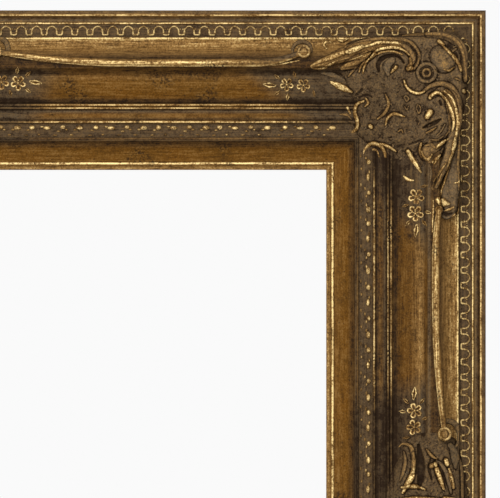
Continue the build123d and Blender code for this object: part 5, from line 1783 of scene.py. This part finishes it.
class GILDED_OT_centres(bpy.types.Operator):
    """Carve the centre cartouche and set it on the four rails"""
    bl_idname = "gilded_frame.centres"
    bl_label = "Centre ornaments"

    def execute(self, context):
        step = context.scene.gilded_frame_sizes.relief_step / MM
        data = centre_carving(step).mesh_data(CENTRE_UNDERSIDE)
        for side in SIDES:
            build_relief("centre_relief_" + side, data, lambda p, side=side: side_to_row(side, p), False,
                         "centre_ornament_" + side)
        return {"FINISHED"}


class GILDED_OT_hardware(bpy.types.Operator):
    """Fit the wedges, turn buttons, hangers, screws and bumpers at the back"""
    bl_idname = "gilded_frame.hardware"
    bl_label = "Back hardware"

    def execute(self, context):
        fixings = fixings_tree()
        wire = swept_tree()
        wedges = mesh_of("wedges", *wedge_points())
        back_piece("mitre_wedge_set", wedges, "bright_steel", "frame", "steel", "mitre_wedges")
        for name, spot in TURN_BUTTONS.items():
            points, faces = turned_to(turn_button_plate(), spot)
            mesh = mesh_of("button", back_to_row(points), faces)
            node = "turn_button_" + name
            back_piece(node + "_plate", mesh, "zinc_plate", node, "plated_steel", node)
        strap_spots = []
        for side, spot in HANGERS.items():
            points, faces = turned_to(strap_plate(), spot)
            mesh = mesh_of("strap", back_to_row(points), faces)
            back_piece("hanger_strap_plate_" + side, mesh, "zinc_plate", "frame", "plated_steel",
                       "hanger_strap_" + side)
            strap_spots += turned_to(([(-hole, 0.0, STRAP_SCREW_SEAT) for hole in STRAP_HOLES], ()), spot)[0]
            build_ring(side, wire)
        button_spots = [(x, z, BUTTON_SCREW_SEAT) for x, z, _ in TURN_BUTTONS.values()]
        build_fixings("turn_button_screw_set", button_spots, slotted_screw(), fixings,
                      {"Turn": SCREW_TURN, "Seed": 5}, "bright_steel", "steel", "turn_button_screws")
        build_fixings("hanger_screw_set", strap_spots, slotted_screw(), fixings,
                      {"Turn": SCREW_TURN, "Seed": 8}, "bright_steel", "steel", "hanger_screws")
        bumper_spots = [(a * BUMPER_PLACE[0], b * BUMPER_PLACE[1], 0.0) for a, b in CORNERS.values()]
        build_fixings("wall_bumper_set", bumper_spots, bumper_shape(), fixings, {},
                      "bumper_rubber", "felt_rubber", "wall_bumpers")
        return {"FINISHED"}


class GILDED_OT_stage(bpy.types.Operator):
    """Set the floor, the light and the camera"""
    bl_idname = "gilded_frame.stage"
    bl_label = "Stage"

    def execute(self, context):
        scene = context.scene
        sizes = scene.gilded_frame_sizes
        scene.view_settings.view_transform = "Standard"
        base = CAD_BOX[0][2]
        corners = [(a * FLOOR_REACH, b * FLOOR_REACH, base) for a, b in ((-1, -1), (1, -1), (1, 1), (-1, 1))]
        ground = bpy.data.objects.new("floor", mesh_of("floor", corners, [(0, 1, 2, 3)]))
        scene.collection.objects.link(ground)
        pale, _, skin = new_material("pale_floor")
        skin.inputs["Base Color"].default_value = FLOOR_TONE
        skin.inputs["Roughness"].default_value = 0.8
        ground.data.materials.append(pale)

        world = bpy.data.worlds.new("studio")
        scene.world = world
        world.use_nodes = True
        tree = world.node_tree
        tree.nodes.clear()
        path = tree.nodes.new("ShaderNodeLightPath")
        seen = math_node(tree, "MAXIMUM", path.outputs["Is Camera Ray"], path.outputs["Is Glossy Ray"])
        seen = math_node(tree, "MAXIMUM", seen, path.outputs["Is Transmission Ray"])
        soft = put(tree, "ShaderNodeBackground", {"Color": (*SOFT_TONE, 1.0), "Strength": SOFT_POWER})
        plain = put(tree, "ShaderNodeBackground", {"Color": BACKDROP_TONE, "Strength": 1.0})
        mixed = put(tree, "ShaderNodeMixShader", {0: seen, 1: soft.outputs[0], 2: plain.outputs[0]})
        out = tree.nodes.new("ShaderNodeOutputWorld")
        tree.links.new(mixed.outputs[0], out.inputs[0])

        key = bpy.data.lights.new("key", "AREA")
        key.shape = "RECTANGLE"
        key.size, key.size_y = KEY_SIZE
        key.energy = sizes.key_power
        key.color = SOFT_TONE
        lamp = bpy.data.objects.new("key", key)
        lamp.location = KEY_PLACE
        lamp.rotation_euler = [math.radians(turn) for turn in KEY_TURN]
        scene.collection.objects.link(lamp)

        camera = bpy.data.cameras.new("camera")
        camera.sensor_width = SENSOR_WIDTH
        camera.lens = camera.sensor_width * sizes.view_distance / sizes.view_width
        camera.clip_end = 100.0
        eye = bpy.data.objects.new("camera", camera)
        eye.location = (sizes.view_centre[0], -sizes.view_distance - FACE_HEIGHT, sizes.view_centre[1])
        eye.rotation_euler = (math.radians(90.0), 0.0, 0.0)
        scene.collection.objects.link(eye)
        scene.camera = eye
        return {"FINISHED"}


class GILDED_PT_frame(bpy.types.Panel):
    """Lists the pieces of the frame and their settings"""
    bl_label = "Gilded Frame"
    bl_idname = "GILDED_PT_frame"
    bl_space_type = "VIEW_3D"
    bl_region_type = "UI"
    bl_category = "Gilded Frame"

    def draw(self, context):
        for maker in MAKERS:
            self.layout.operator(maker.bl_idname)
        for settings in (context.scene.gilded_frame_sizes, context.scene.gilded_frame_finish):
            box = self.layout.box()
            for label in settings.__annotations__:
                box.prop(settings, label)


MAKERS = (GILDED_OT_rails, GILDED_OT_runs, GILDED_OT_beads, GILDED_OT_corners, GILDED_OT_centres,
          GILDED_OT_hardware, GILDED_OT_stage)
CLASSES = (GildedFrameFinish, GildedFrameSizes) + MAKERS + (GILDED_PT_frame,)


def register():
    for kind in CLASSES:
        bpy.utils.register_class(kind)
    bpy.types.Scene.gilded_frame_finish = bpy.props.PointerProperty(type=GildedFrameFinish)
    bpy.types.Scene.gilded_frame_sizes = bpy.props.PointerProperty(type=GildedFrameSizes)


def unregister():
    del bpy.types.Scene.gilded_frame_sizes
    del bpy.types.Scene.gilded_frame_finish
    for kind in reversed(CLASSES):
        bpy.utils.unregister_class(kind)


def main():
    register()
    bpy.ops.gilded_frame.rails()
    bpy.ops.gilded_frame.runs()
    bpy.ops.gilded_frame.beads()
    bpy.ops.gilded_frame.corners()
    bpy.ops.gilded_frame.centres()
    bpy.ops.gilded_frame.hardware()
    bpy.ops.gilded_frame.stage()


if __name__ == "__main__":
    main()
